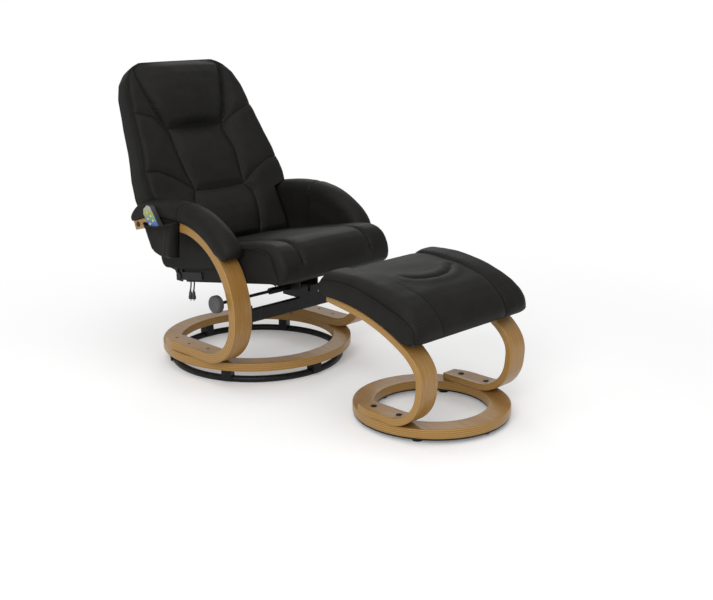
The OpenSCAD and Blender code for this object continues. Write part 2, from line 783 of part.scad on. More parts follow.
module hinge_plates() {
    color(black_steel)
        for (side = [-1, 1])
            translate([side * hinge_x, 0, 0])
                difference() {
                    union() {
                        translate([0, pivot[0], pivot[1]])
                            rotate([0, side * 90, 0])
                                cylinder(d = 40, h = hinge_t);
                        translate([side > 0 ? 0 : -hinge_t, 0, 0])
                            rotate([90, 0, 90])
                                linear_extrude(hinge_t)
                                    polygon([[pivot[0] - 18, pivot[1] - 8], [pivot[0] + 19, pivot[1] - 6],
                                             [link_pin[0] + 16, link_pin[1] - 4],
                                             [link_pin[0] - 10, link_pin[1] + 8]]);
                        translate([0, link_pin[0], link_pin[1]])
                            rotate([0, side * 90, 0]) {
                                cylinder(d = 28, h = hinge_t);
                                cylinder(d = link_pin_d, h = hinge_t + 0.7 + link_t + 1);
                                translate([0, 0, hinge_t + 0.7 + link_t + run_gap])
                                    cylinder(d = 24, h = 3);
                            }
                        for (p = hinge_studs)
                            translate([0, p[0], p[1]])
                                rotate([0, -side * 90, 0])
                                    cylinder(d = 8, h = hinge_x - stile_out);
                    }
                    translate([-1 * side, pivot[0], pivot[1]])
                        rotate([0, side * 90, 0])
                            cylinder(d = pivot_d + 2 * pin_gap, h = hinge_t + 2);
                }
}
hinge_studs = [[176, 408], [150, 372]];

// ======================= Seat =======================
seat_in_x = seat_w / 2 - 3;
frame_out = seat_in_x - cover_t - 0.3;
frame_back = cover_t + 0.3;

module seat_cover() {
    color(leather)
        on_seat()
            difference() {
                translate([-seat_in_x, -seat_l, 0])
                    cube([2 * seat_in_x, seat_l, frame_h + 1]);
                translate([-seat_in_x + cover_t, -seat_l + cover_t, -1])
                    cube([2 * seat_in_x - 2 * cover_t, seat_l - 2 * cover_t, frame_h + 3]);
            }
}

module seat_frame() {
    beam_w = 40;
    beam_h = 20;
    color(pale_board)
        on_seat()
            difference() {
                translate([-frame_out, -seat_l + frame_back, 0])
                    cube([2 * frame_out, seat_l - 2 * frame_back, frame_h]);
                difference() {
                    translate([-frame_out + board_t, -seat_l + frame_back + board_t, -1])
                        cube([2 * frame_out - 2 * board_t, seat_l - 2 * frame_back - 2 * board_t,
                              frame_h + 2]);
                    for (side = [-1, 1])
                        translate([side * rail_gap / 2 - beam_w / 2, -seat_l, -2])
                            cube([beam_w, seat_l, beam_h + 2]);
                    translate([-rail_gap / 2, rod_in_seat[0] - 20, -2])
                        cube([rail_gap, seat_travel + 40, beam_h + 2]);
                    translate([-frame_out, control_y - 6, -2])
                        cube([frame_out - rail_gap / 2, 92, 8]);
                }
            }
}

webbing_t = 2;
module seat_webbing() {
    straps = 5;
    pitch = 82;
    color(webbing_tan)
        on_seat()
            for (i = [0 : straps - 1])
                translate([(i - (straps - 1) / 2) * pitch - 27, -seat_l + frame_back + 2, frame_h])
                    cube([54, seat_l - 2 * frame_back - 4, webbing_t]);
}

// The cushion's side outline in the seat's frame, rear to front and back over the top.
// Upper points also say how far the rounded ends draw them [back, down] and how a seam pulls them
cushion_z = frame_h + webbing_t + soft_gap;
seat_lower = [[0, 0], [-45, 0], [-95, 0], [-150, 0], [-205, 0], [-260, 0], [-315, 0], [-365, 0],
    [-405, 0], [-seat_l + 8, 0], [-seat_l - 0.6, -0.1], [-seat_l - 0.6, -26],
    [-seat_l - 0.6, -44], [-seat_l - 5, -52]];
seat_upper = [[0.35, -0.76, 1, -0.2, 0.6], [0.76, -0.56, 1, 0, 1], [0.98, -0.22, 1, 0, 1],
    [1, 0.16, 1, 0.1, 1], [0.9, 0.48, 0.9, 0.4, 1], [0.6, 0.76, 0.6, 0.8, 1],
    [0.05, 0.93, 0.2, 1, 0.8], [-0.9, 1, 0, 1, 0.25], [-2.5, 1.01, 0, 1, 0], [-4.6, 0.98, 0, 1, 0],
    [-6.8, 0.94, 0, 1, 0], [-9, 0.89, 0, 1, 0], [-10.3, 0.8, 0, 0.6, 0], [-10.6, 0.4, 0, 0.2, 0]];
seat_seam_x = 146;
seat_stations = [40, 80, 115, 135, 146, 157, 180, 205, 222, 232, 238];

function seat_ring(x) = let (
        end = round_in(max(0, (abs(x) - seat_w / 2 + 16) / 16)),
        crown = 7 * (1 - pow(x / seat_w * 2, 2)) + 4 * sin(180 * min(1, abs(x) / seat_seam_x)),
        seam = 9 * dip(abs(x) - seat_seam_x, 8),
        bx = x * seat_w / 476)
    concat([for (p = seat_lower) [bx, p[0], cushion_z + p[1]]],
           [for (p = seat_upper)
               let (y = -seat_l - p[0] * seat_roll, z = cushion_z + p[1] * seat_t)
               [bx,
                y + p[2] * (14 * end + seam * p[4]) - p[2] * crown * 0.5,
                z - p[3] * (13 * end + seam * p[4]) + p[3] * crown * 0.6]]);

module seat_cushion() {
    color(leather)
        on_seat()
            skin([for (x = mirrored(reversed(seat_stations))) seat_ring(-x)]);
}

// Vibration motors: a hollow can on a mounting plate, with its bore along X
can_d = 24;
can_l = 50;
can_wall = 2;
shaft_d = 4;
module motor_can() {
    difference() {
        union() {
            rotate([0, 90, 0])
                cylinder(d = can_d, h = can_l, center = true);
            translate([0, 0, can_d / 2])
                cube([can_l + 14, 44, 3], center = true);
            translate([0, 0, can_d / 2 - 4])
                cube([can_l - 10, 18, 7], center = true);
        }
        rotate([0, 90, 0])
            cylinder(d = can_d - 2 * can_wall, h = can_l - 2 * can_wall, center = true);
        rotate([0, 90, 0])
            cylinder(d = shaft_d + 2 * pin_gap, h = can_l + 2, center = true);
    }
}
// The shaft turns in the can's ends and carries a half-round weight
module motor_rotor() {
    rotate([0, 90, 0])
        cylinder(d = shaft_d, h = can_l, center = true);
    translate([8, 0, 0])
        rotate([0, 90, 0])
            difference() {
                cylinder(d = can_d - 2 * can_wall - 4, h = 16, center = true);
                translate([0, -can_d / 2, -10])
                    cube([can_d, can_d, 20]);
            }
    translate([-12, 0, 0])
        rotate([0, 90, 0])
            cylinder(d = can_d - 2 * can_wall - 6, h = 16, center = true);
}

seat_motor_at = [110, -150, frame_h - 1.5 - can_d / 2];
module seat_motors() {
    color(grey_plastic)
        on_seat()
            for (side = [-1, 1])
                translate([side * seat_motor_at[0], seat_motor_at[1], seat_motor_at[2]])
                    motor_can();
}
module seat_rotors() {
    color(bright_steel)
        on_seat()
            for (side = [-1, 1])
                translate([side * seat_motor_at[0], seat_motor_at[1], seat_motor_at[2]])
                    motor_rotor();
}

control_y = -112;
module control_box() {
    box = [92, 80, 26];
    color(grey_plastic)
        on_seat()
            translate([-frame_out + board_t + 8, control_y, 6])
                union() {
                    cube(box);
                    translate([-3, 12, 0])
                        cube([box[0] + 6, 56, 3]);
                }
}

// Two short leads hang from the rear of the seat. Routes in the chair's frame, straight down
lead_d = 5;
lead_top = [-seat_w / 2 + 12, 63, 289.2];
lead_gap = 18;
lead_fall = [[0, 0, 0], [0, 0, -6], [0, 0.5, -12], [0, 1.5, -18], [0, 3, -24], [0, 4.5, -30], [0, 5, -36]];
adaptor_route = [for (p = lead_fall) lead_top + p];
stool_route = [for (p = lead_fall) lead_top + [0, -lead_gap, 0.015 * lead_gap + 2.75] + p];
module lead(route) {
    sides = 8;
    rings = [for (i = [0 : len(route) - 1])
        [for (k = [0 : sides - 1])
            route[i] + [lead_d / 2 * cos(360 / sides * k), lead_d / 2 * sin(360 / sides * k), 0]]];
    color(black_steel)
        skin([for (r = rings) reversed(r)]);
}
module adaptor_lead() { lead(adaptor_route); }
module stool_lead() { lead(stool_route); }

// A stepped round plug with a short barrel pin, pointing down
module connector(at) {
    color(grey_plastic)
        translate(at) {
            translate([0, 0, -14])
                cylinder(d = 9, h = 14);
            translate([0, 0, -24])
                cylinder(d = 12, h = 12);
            translate([0, 0, -30])
                cylinder(d = 5.5, h = 7);
        }
}
module adaptor_connector() { connector(adaptor_route[6]); }
module stool_connector() { connector(stool_route[6]); }

// ======================= Back =======================
// The back's own frame: origin at the seat joint, +Z up the back, -Y out of its front
back_foot = [90, 400];
module on_back() {
    translate([0, back_foot[0], back_foot[1]])
        rotate([-back_lean, 0, 0])
            children();
}
// Place in the back's frame, as [depth behind the front, height], of a point [y, z] of the chair
function to_back(p) = let (y = p[0] - back_foot[0], z = p[1] - back_foot[1])
    [y * cos(back_lean) - z * sin(back_lean), y * sin(back_lean) + z * cos(back_lean)];

// Half width of the back at a height, as [height, share of the wings' spread]
back_bottom = -78;
wing_foot = 191;
back_outline = [[back_bottom, 0], [wing_foot - 2, 0], [wing_foot, 0.2], [wing_foot + 5, 0.66],
    [wing_foot + 15, 0.92], [235, 1], [266, 0.93], [324, 0.72], [363, 0.6], [447, 0.43], [480, 0.33],
    [550, 0.16], [600, -0.12], [634, -0.58], [648, -0.95], [back_h, -1.37]];
function half_width(share) = back_w / 2 + share * (wing_w - back_w) / 2;
function width_at(u, i = 0) = i >= len(back_outline) - 2 || u <= back_outline[i + 1][0]
    ? let (a = back_outline[i], b = back_outline[i + 1])
      half_width(a[1] + (b[1] - a[1]) * (u - a[0]) / (b[0] - a[0]))
    : width_at(u, i + 1);
module outline_plate(inset, depth) {
    right = [for (p = back_outline)
        [half_width(p[1]) - inset,
         min(back_h - inset, max(back_bottom + inset, p[0] - inset * (p[0] > 300 ? 0.5 : 0)))]];
    rotate([90, 0, 0])
        translate([0, 0, -depth])
            linear_extrude(depth)
                polygon(concat(right, [for (p = reversed(right)) [-p[0], p[1]]]));
}

// Depth of the shell's rear behind the front, by height
shell_front = back_cushion_t + 9 + soft_gap;
shell_profile = [[50, back_bottom], [96, -46], [130, -20], [139, 11], [128, 60], [98, 150],
    [86, 250], [80, 350], [76, 450], [72, 560], [62, 632], [shell_front + 4, back_h]];
module profile_plate(inset) {
    rotate([90, 0, 90])
        translate([0, 0, -wing_w])
            linear_extrude(2 * wing_w)
                polygon(concat([[-50, back_bottom + inset]],
                               [for (p = shell_profile) [p[0] - inset, min(p[1], back_h - inset)]],
                               [[-50, back_h - inset]]));
}

module back_shell() {
    recess = 34;
    color(leather)
        difference() {
            on_back()
                difference() {
                    intersection() {
                        outline_plate(0, 200);
                        profile_plate(0);
                    }
                    translate([-wing_w, -200, -200])
                        cube([2 * wing_w, 200 + shell_front, back_h + 400]);
                    difference() {
                        intersection() {
                            outline_plate(shell_t, 200);
                            profile_plate(shell_t);
                        }
                        translate([-wing_w, -300, back_bottom - 100])
                            cube([2 * wing_w, 1, 10]);
                    }
                }
            for (side = [-1, 1]) {
                translate([side * (back_w / 2 - shell_t - 1), pivot[0], pivot[1]])
                    rotate([0, side * 90, 0])
                        cylinder(d = recess, h = 20);
                for (p = hinge_studs)
                    translate([side * (back_w / 2 - shell_t - 1), p[0], p[1]])
                        rotate([0, side * 90, 0])
                            cylinder(d = 8 + 2 * pin_gap, h = 20);
            }
        }
}

// Welded frame of square tube: two stiles and four rails
stile_out = back_w / 2 - shell_t - 4;
frame_tube = 20;
frame_front = shell_front + 4;
rail_heights = [-40, 100, 300, 520];
module back_frame() {
    color(black_steel)
        on_back() {
            for (side = [-1, 1])
                translate([side > 0 ? stile_out - frame_tube : -stile_out, frame_front, -56])
                    cube([frame_tube, frame_tube, 600]);
            for (u = rail_heights)
                translate([-stile_out + 1, frame_front, u])
                    cube([2 * stile_out - 2, frame_tube, frame_tube]);
            for (side = [-1, 1])
                for (p = hinge_studs)
                    let (q = to_back(p))
                    translate([side > 0 ? stile_out - 6 : -stile_out, q[0] - 16, q[1] - 13])
                        cube([6, 32, 26]);
        }
}

module back_webbing() {
    color(webbing_tan)
        on_back()
            for (u = [20, 70, 150, 215, 330, 400, 460])
                translate([-stile_out + 2, frame_front - webbing_t, u])
                    cube([2 * stile_out - 4, webbing_t, 40]);
}

module heat_pad() {
    color([0.45, 0.12, 0.10])
        on_back()
            translate([-110, shell_front + 0.2, 62])
                cube([220, 1.6, 130]);
}

motor_depth = frame_front + 1.5 + can_d / 2;
lumbar_at = [95, motor_depth, 170];
shoulder_at = [95, motor_depth, 420];
module back_motor_places(at) {
    on_back()
        for (side = [-1, 1])
            translate([side * at[0], at[1], at[2]])
                rotate([90, 0, 0])
                    children();
}
module back_motors() {
    color(grey_plastic) {
        back_motor_places(lumbar_at)
            motor_can();
        back_motor_places(shoulder_at)
            motor_can();
    }
}
module lumbar_rotors() {
    color(bright_steel)
        back_motor_places(lumbar_at)
            motor_rotor();
}
module shoulder_rotors() {
    color(bright_steel)
        back_motor_places(shoulder_at)
            motor_rotor();
}

// Half width of the centre panel and headrest between the bolster seams, by height
panel_line = [[back_bottom, 88], [0, 96], [60, 112], [140, 122], [187, 106], [200, 110], [250, 118],
    [320, 121], [403, 114], [421, 118], [486, 146], [567, 170], [625, 182], [back_h, 176]];
function panel_at(u, i = 0) = i >= len(panel_line) - 2 || u <= panel_line[i + 1][0]
    ? let (a = panel_line[i], b = panel_line[i + 1])
      a[1] + (b[1] - a[1]) * (u - a[0]) / (b[0] - a[0])
    : panel_at(u, i + 1);

head_foot = 421;
head_seat = 26;
// Cross seams run out from the panel's corners: [height at the panel, height at the edge]
upper_seam = [421, 474];
lower_seam = [187, 268];
// How far the middle and the bolsters stand out of the plane of the side seam
function centre_out(u) = u > head_foot - 5 ? -head_seat
    : u > lower_seam[0]
        ? let (t = (u - lower_seam[0]) / (head_foot - lower_seam[0])) -4 - 20 * t + 20 * sin(180 * t)
        : 24 * sin(180 * smooth((u - back_bottom) / (lower_seam[0] - back_bottom))) - 4;
function bolster_out(u, share) = let (
        up = upper_seam[0] + share * (upper_seam[1] - upper_seam[0]),
        low = lower_seam[0] + share * (lower_seam[1] - lower_seam[0]))
    bolster_t * (1 - 0.45 * dip(u - up, 14) - 0.45 * dip(u - low, 14))
        * (1 - 0.5 * smooth((u - 560) / 90));
function panel_edge(u) = min(panel_at(u), width_at(u) - 20);
function back_front(u, x) = let (w = width_at(u), p = panel_edge(u), a = abs(x))
    a <= p
        ? let (c = centre_out(u)) c + (u > head_foot - 5 ? 0 : 6 * (1 - pow(a / p, 2)))
        : let (t = (a - p) / (w - p))
          (1 - t) * (centre_out(u) < -12 ? -12 : centre_out(u)) - 9 * t
              + bolster_out(u, t) * sin(180 * pow(t, 0.85));
function back_columns(u) = let (w = width_at(u), p = panel_edge(u), s = (w - p) / 4)
    [p / 3, 2 * p / 3, p, p + s, p + 2 * s, p + 3 * s, w - 5, w];
// Below the joint the cushion tucks under and follows the seat's rear face
seat_low = to_back(seat_rear);
seat_high = to_back([seat_rear[0] + 100 * sin(seat_tilt), seat_rear[1] + 100 * cos(seat_tilt)]);
function behind_seat(u) = seat_low[0] + 1.7 + (u < -48 ? 8.5 * pow((-48 - u) / 30, 1.3) : 0)
    + (seat_high[0] - seat_low[0]) * (u - seat_low[1]) / (seat_high[1] - seat_low[1]);
tuck_from = -8;
tuck_to = 16;
function tucked(u, d) = u <= tuck_from ? -behind_seat(u)
    : u >= tuck_to ? d
    : let (t = (tuck_to - u) / (tuck_to - tuck_from), foot = -behind_seat(tuck_from))
      foot + (d - foot) * sqrt(1 - t * t);
function back_ring(u) = let (
        cols = mirrored(reversed(back_columns(u))),
        last = len(cols) - 1,
        edge = round_in(max(0, (u - back_h + 24) / 24)))
    concat([for (x = cols) [x * (1 - 0.01 * edge), back_cushion_t + 9, u]],
           [for (i = [last : -1 : 0])
               let (x = cols[i],
                    side = i == 0 || i == last,
                    d = tucked(u, back_front(u, x)),
                    out = side ? min(-14, d - 3) : min(d, d * (1 - edge) - 14 * edge))
               [x * (1 - 0.03 * edge), -out, u]]);
back_stations = [back_bottom, -56, -32, tuck_from, -4, 2, tuck_to, 40, 75, 110, 145, 172, 187, 190,
    192, 197, 206, 222, 245, 268, 290, 320, 355, 385, 408, 417, 423, 440, 456, 474, 505, 540, 575,
    605, 632, 648, back_h];

module back_cushion() {
    color(leather)
        on_back()
            skin([for (u = back_stations) back_ring(u)]);
}

// The headrest is a full roll sewn over the top of the back
function head_out(u) = let (t = (u - head_foot - 1) / (back_h - 8 - head_foot))
    -head_seat + soft_gap + 3 + (head_t - 3) * pow(sin(180 * pow(min(1, max(0, t)), 0.8) * 0.86 + 3), 0.6);
function head_ring(u) = let (
        w = panel_edge(u) - 3,
        cols = [-w, -w * 0.93, -w * 0.7, -w * 0.35, 0, w * 0.35, w * 0.7, w * 0.93, w],
        drop = [0.62, 0.25, 0.06, 0, 0, 0, 0.06, 0.25, 0.62])
    concat([for (x = cols) [x, head_seat - soft_gap, u]],
           [for (i = [8 : -1 : 0])
               [cols[i], head_seat - soft_gap - (head_out(u) + head_seat) * (1 - drop[i]), u]]);
head_stations = [422, 426, 434, 450, 475, 505, 535, 565, 592, 615, 632, 643, 650];
module head_cushion() {
    color(leather)
        on_back()
            skin([for (u = head_stations) head_ring(u)]);
}

// ======================= Pocket and handset =======================
pocket_x = arm_x + 0.3;
pocket_depth = 32;
pocket_outline = [[-12, 506], [-12, 412], [2, 398], [60, 394], [104, 402], [128, 424], [150, 490],
    [124, 484], [70, 486], [24, 500]];
pocket_inside = [[-12 + pocket_t, 520], [-12 + pocket_t, 413], [3, 398 + pocket_t],
    [60, 394 + pocket_t], [103, 402 + pocket_t], [126, 425], [152, 520]];
module pocket() {
    color(leather)
        difference() {
            translate([-pocket_x - pocket_depth, 0, 0])
                side_plate(pocket_depth)
                    polygon(pocket_outline);
            translate([-pocket_x - pocket_depth + pocket_t, 0, 0])
                side_plate(pocket_depth - 2 * pocket_t)
                    polygon(pocket_inside);
        }
}

handset_foot = [28.3, 407.8];
handset_x = pocket_x + pocket_t + 7.4;
module on_handset() {
    translate([-handset_x, handset_foot[0], handset_foot[1]])
        rotate([-handset_lean, 0, 0])
            children();
}
// Buttons in two columns on the face: [across, up]
button_d = 9;
button_places = [[0, 152], [-10, 134], [10, 134], [-10, 116], [10, 116]];
button_cap = 1.8;
module handset() {
    color(grey_plastic)
        on_handset()
            difference() {
                translate([-handset_t, 0, 0])
                    side_plate(handset_t)
                        polygon([[-handset_w / 2 + 7, 0], [handset_w / 2 - 7, 0], [handset_w / 2, 8],
                                 [handset_w / 2, handset_l - 12], [handset_w / 2 - 10, handset_l],
                                 [-handset_w / 2 + 10, handset_l], [-handset_w / 2, handset_l - 12],
                                 [-handset_w / 2, 8]]);
                for (p = button_places)
                    translate([-handset_t - 1, p[0], p[1]])
                        rotate([0, 90, 0])
                            cylinder(d = button_d + 0.6, h = 5);
            }
}
module handset_button(i) {
    stem = 4 - button_travel - 0.3;
    color(bright_steel)
        on_handset()
            translate([-handset_t - button_cap, button_places[i][0], button_places[i][1]])
                rotate([0, 90, 0])
                    cylinder(d = button_d, h = button_cap + stem);
}
module power_button() { handset_button(0); }
module heat_button() { handset_button(1); }
module back_button() { handset_button(2); }
module seat_button() { handset_button(3); }
module level_button() { handset_button(4); }

// ======================= Footstool =======================
stool_ring_z = glide_h + facing_t;
stool_ring_top = stool_ring_z + stool_ring_t;
stool_mid_r = stool_ring_od / 2 - stool_ring_w / 2;
stool_foot_back = 95;
leg_start = [-stool_y + stool_foot_back, stool_ring_top + leg_t / 2, 180];
leg_path = [[136], [109, 85], [22], [83, 42], [150, 21], [560, 23], [92]];
leg_l = path_length(leg_path);
stool_bolt_gap = 49;
stool_bolt_d = 6;
function stool_bolt_at(side, k) =
    [side * sqrt(pow(stool_mid_r, 2) - pow(stool_bolt_gap, 2)), -stool_y + k * stool_bolt_gap];
stool_bolts_at = [for (side = [-1, 1], k = [-1, 1]) stool_bolt_at(side, k)];
glide_angles = [for (i = [0 : 5]) 30 + 60 * i];

module stool_ring() {
    color(beech)
        difference() {
            translate([0, -stool_y, stool_ring_z])
                rotate_extrude($fn = 120)
                    translate([stool_ring_od / 2 - stool_ring_w, 0])
                        square([stool_ring_w, stool_ring_t]);
            for (p = stool_bolts_at)
                translate([p[0], p[1], stool_ring_z - 1])
                    cylinder(d = stool_bolt_d + 4, h = stool_ring_t + 2);
        }
}
module stool_facing() {
    color(black_steel)
        difference() {
            translate([0, -stool_y, glide_h])
                rotate_extrude($fn = 120)
                    translate([stool_ring_od / 2 - stool_ring_w + 2, 0])
                        square([stool_ring_w - 4, facing_t]);
            for (p = stool_bolts_at)
                translate([p[0], p[1], glide_h - 1])
                    cylinder(d = 20, h = facing_t + 2);
        }
}
module stool_glides() {
    color(black_steel)
        translate([0, -stool_y, 0])
            for (a = glide_angles)
                rotate([0, 0, a])
                    translate([stool_mid_r, 0, 0])
                        cylinder(d = 30, h = glide_h);
}
module stool_leg(side) {
    out = leg_t / 2;
    color(beech)
        difference() {
            translate([side < 0 ? -leg_x : leg_x - strip_w, 0, 0])
                bent_strip(leg_start, leg_path, 0, leg_l, out, out, strip_w);
            difference() {
                translate([side < 0 ? -leg_x - 5 : leg_x - strip_w, -stool_y + 1, stool_ring_top - 1])
                    cube([strip_w + 5, stool_foot_back + 10, leg_t + 2]);
                translate([0, -stool_y, stool_ring_z])
                    cylinder(d = stool_ring_od, h = stool_ring_t + leg_t + 10, $fn = 120);
            }
            for (p = [for (q = stool_bolts_at) if (q[0] * side > 0) q])
                translate([p[0], p[1], stool_ring_top - 1]) {
                        cylinder(d = stool_bolt_d + 1, h = leg_t + 2);
                        // Spot face, where the strip already starts to bend up
                        translate([0, 0, leg_t + 1])
                            cylinder(d = stool_head_d + 1, h = 4);
                    }
        }
}
stool_head_d = 18;
module stool_right_leg() { stool_leg(-1); }
module stool_left_leg() { stool_leg(1); }

// Domed black bolts hold the legs to the ring, with tee nuts below
module stool_bolts() {
    dome_r = 18;
    head_z = stool_ring_top + leg_t;
    color(black_steel)
        for (p = stool_bolts_at)
            translate([p[0], p[1], 0]) {
                intersection() {
                    translate([0, 0, head_z])
                        cylinder(d = stool_head_d, h = 6);
                    translate([0, 0, head_z + 4 - dome_r])
                        sphere(r = dome_r);
                }
                translate([0, 0, stool_ring_z - nut_t])
                    cylinder(d = stool_bolt_d, h = head_z - stool_ring_z + nut_t + 1);
            }
}
module stool_nuts() {
    color(bright_steel)
        for (p = stool_bolts_at)
            translate([p[0], p[1], stool_ring_z])
                difference() {
                    union() {
                        translate([0, 0, -nut_t])
                            cylinder(d = 18, h = nut_t);
                        translate([0, 0, -1])
                            cylinder(d = stool_bolt_d + 3.6, h = 12);
                    }
                    translate([0, 0, -nut_t - 1])
                        cylinder(d = stool_bolt_d + 2 * pin_gap, h = 20);
                }
}

// A bent plywood board joins the legs and carries the cushion
board_from = path_length([for (i = [0 : 3]) leg_path[i]]) + 8;
board_w = 2 * leg_x - 4;
module stool_board() {
    color(pale_board)
        translate([-board_w / 2, 0, 0])
            bent_strip(leg_start, leg_path, board_from, leg_l,
                       -leg_t / 2, leg_t / 2 + stool_board_t, board_w);
}

// Upper outline of the stool cushion, front to rear: [y from the stool's middle, z, front, top]
stool_upper = [[-146, 297, 0.8, -0.4], [-156, 309, 1, 0], [-158, 325, 1, 0.2], [-149, 346, 0.8, 0.5],
    [-132, 366, 0.6, 0.8], [-104, 386, 0.3, 1], [-70, 402, 0.1, 1], [-42, 411, 0, 1], [-24, 416, 0, 1],
    [-8, 420, 0, 1], [8, 424, 0, 1], [24, 427, 0, 1], [42, 430, 0, 1], [66, 433, 0, 1],
    [100, 436, 0, 1], [150, 437, 0, 1], [192, 434, -0.3, 1], [216, 424, -0.8, 0.7], [225, 408, -1, 0.2]];
stool_seam_x = 145;
stool_stations = concat(
    [for (x = [30, 60, 88, 112, 132, 145, 158, 178, 198, 212]) if (x < stool_w / 2 - 31) x],
    [for (k = [29, 16, 7, 2, 0]) stool_w / 2 - k]);
function stool_under(i) = let (
        n = len(stool_upper) - 1,
        s = leg_l - (leg_l - board_from) * (n - i) / n,
        p = beside(pose_at(leg_start, leg_path, s), leg_t / 2 + stool_board_t + 1))
    p;
function stool_ring_at(x) = let (
        end = round_in(max(0, (abs(x) - stool_w / 2 + 45) / 45)),
        crown = 7 * cos(90 * min(1, abs(x) / stool_seam_x)) + 3 * dip(abs(x) - 200, 40),
        seam = 8 * dip(abs(x) - stool_seam_x, 9),
        n = len(stool_upper) - 1)
    concat([for (i = [n : -1 : 0])
               let (p = stool_under(i))
               [x, p[0], p[1]]],
           [for (q = stool_upper)
               let (arc = -8 + 55 * pow(x / 100, 2),
                    smile = abs(x) > 100 ? 0 : 8 * dip(q[0] - arc, 11))
               [x,
                -stool_y + q[0] + q[2] * (20 * end + seam - crown * 0.5),
                q[1] - q[3] * (20 * end + seam + smile - crown)]]);
module stool_cushion() {
    color(leather)
        skin([for (x = mirrored(reversed(stool_stations))) stool_ring_at(-x)]);
}

floor_ring();
base_ring();
ring_saddles();
saddle_screws();
right_arm_frame();
left_arm_frame();
foot_bolts();
foot_nuts();
right_arm_pad();
left_arm_pad();
arm_pad_screws();
crossbar();
crossbar_screws();
glide_bracket();
glide_rails();
clamp_jaws();
lock_rod();
lock_knob();
pivot_bolts();
pivot_bushes();
pocket();
handset();
power_button();
heat_button();
back_button();
seat_button();
level_button();
seat_frame();
seat_cover();
seat_webbing();
seat_cushion();
seat_runners();
lock_plate();
seat_motors();
seat_rotors();
control_box();
link_plates();
adaptor_lead();
stool_lead();
adaptor_connector();
stool_connector();
back_frame();
back_shell();
back_webbing();
back_cushion();
head_cushion();
back_motors();
lumbar_rotors();
shoulder_rotors();
heat_pad();
hinge_plates();
stool_ring();
stool_facing();
stool_glides();
stool_right_leg();
stool_left_leg();
stool_bolts();
stool_nuts();
stool_board();
stool_cushion();
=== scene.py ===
import math

import bmesh
import bpy
import numpy as np
from mathutils import Matrix, Vector
from mathutils.bvhtree import BVHTree


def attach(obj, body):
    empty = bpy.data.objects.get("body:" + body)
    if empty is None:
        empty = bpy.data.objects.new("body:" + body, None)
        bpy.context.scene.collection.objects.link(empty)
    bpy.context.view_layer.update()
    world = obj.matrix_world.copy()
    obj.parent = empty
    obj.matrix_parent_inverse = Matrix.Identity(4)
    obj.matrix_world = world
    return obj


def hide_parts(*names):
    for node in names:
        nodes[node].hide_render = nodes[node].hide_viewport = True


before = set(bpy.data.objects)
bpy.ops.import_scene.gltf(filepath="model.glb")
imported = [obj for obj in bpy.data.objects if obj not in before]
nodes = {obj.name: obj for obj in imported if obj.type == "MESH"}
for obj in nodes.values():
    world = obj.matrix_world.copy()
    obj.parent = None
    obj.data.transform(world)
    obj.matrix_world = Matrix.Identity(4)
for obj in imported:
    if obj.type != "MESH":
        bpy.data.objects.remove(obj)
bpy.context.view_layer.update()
mm = 0.001  # lengths are in millimetres unless a note says otherwise
sides = ((-1, "right"), (1, "left"))


# A shader socket that takes part in sums like a number
class Wire:
    def __init__(self, tree, socket):
        self.tree, self.socket = tree, socket

    def put(self, target, value):
        if isinstance(value, Wire):
            self.tree.links.new(value.socket, target)
        elif value is not None:
            if target.type == "RGBA" and len(value) == 3:
                value = (*value, 1)
            target.default_value = value

    def node(self, kind, settings=None, inputs=None, output=0):
        made = self.tree.nodes.new(kind)
        for key, value in (settings or {}).items():
            setattr(made, key, value)
        for key, value in (inputs or {}).items():
            self.put(made.inputs[key], value)
        return Wire(self.tree, made.outputs[output])

    def maths(self, operation, *values):
        return self.node("ShaderNodeMath", {"operation": operation}, dict(enumerate(values)))

    def __add__(self, other):
        return self.maths("ADD", self, other)

    def __radd__(self, other):
        return self.maths("ADD", other, self)

    def __sub__(self, other):
        return self.maths("SUBTRACT", self, other)

    def __rsub__(self, other):
        return self.maths("SUBTRACT", other, self)

    def __mul__(self, other):
        return self.maths("MULTIPLY", self, other)

    def __rmul__(self, other):
        return self.maths("MULTIPLY", other, self)

    def __truediv__(self, other):
        return self.maths("DIVIDE", self, other)

    def clamp(self):
        return self.node("ShaderNodeClamp", None, {0: self})

    def span(self, low, high, first=0.0, last=1.0):
        return self.node("ShaderNodeMapRange", {"interpolation_type": "SMOOTHSTEP"},
                         {0: self, 1: low, 2: high, 3: first, 4: last})

    def mix(self, first, second):
        return self.node("ShaderNodeMix", {"data_type": "RGBA"}, {0: self, 6: first, 7: second}, 2)

    def scaled(self, amounts):
        return self.node("ShaderNodeVectorMath", {"operation": "MULTIPLY"}, {0: self, 1: amounts})

    def moved(self, other):
        return self.node("ShaderNodeVectorMath", {"operation": "ADD"}, {0: self, 1: other})

    def noise(self, scale, detail=2.0, rough=0.5, output=0):
        return self.node("ShaderNodeTexNoise", None,
                         {"Vector": self, "Scale": scale, "Detail": detail, "Roughness": rough}, output)

    def cells(self, scale):
        return self.node("ShaderNodeTexVoronoi", {"feature": "SMOOTH_F1"}, {"Vector": self, "Scale": scale})

    def bump(self, strength, distance, normal=None):
        return self.node("ShaderNodeBump", None,
                         {"Height": self, "Strength": strength, "Distance": distance, "Normal": normal})


def newMaterial(name):
    material = bpy.data.materials.new(name)
    material.use_nodes = True
    tree = material.node_tree
    tree.nodes.clear()
    out = tree.nodes.new("ShaderNodeOutputMaterial")
    return material, Wire(tree, None), out


def objectPlace(start):
    return start.node("ShaderNodeTexCoord", None, None, 3)


def finished(material, start, out, surface):
    shader = start.node("ShaderNodeBsdfPrincipled", None, surface)
    start.put(out.inputs["Surface"], shader)
    return material


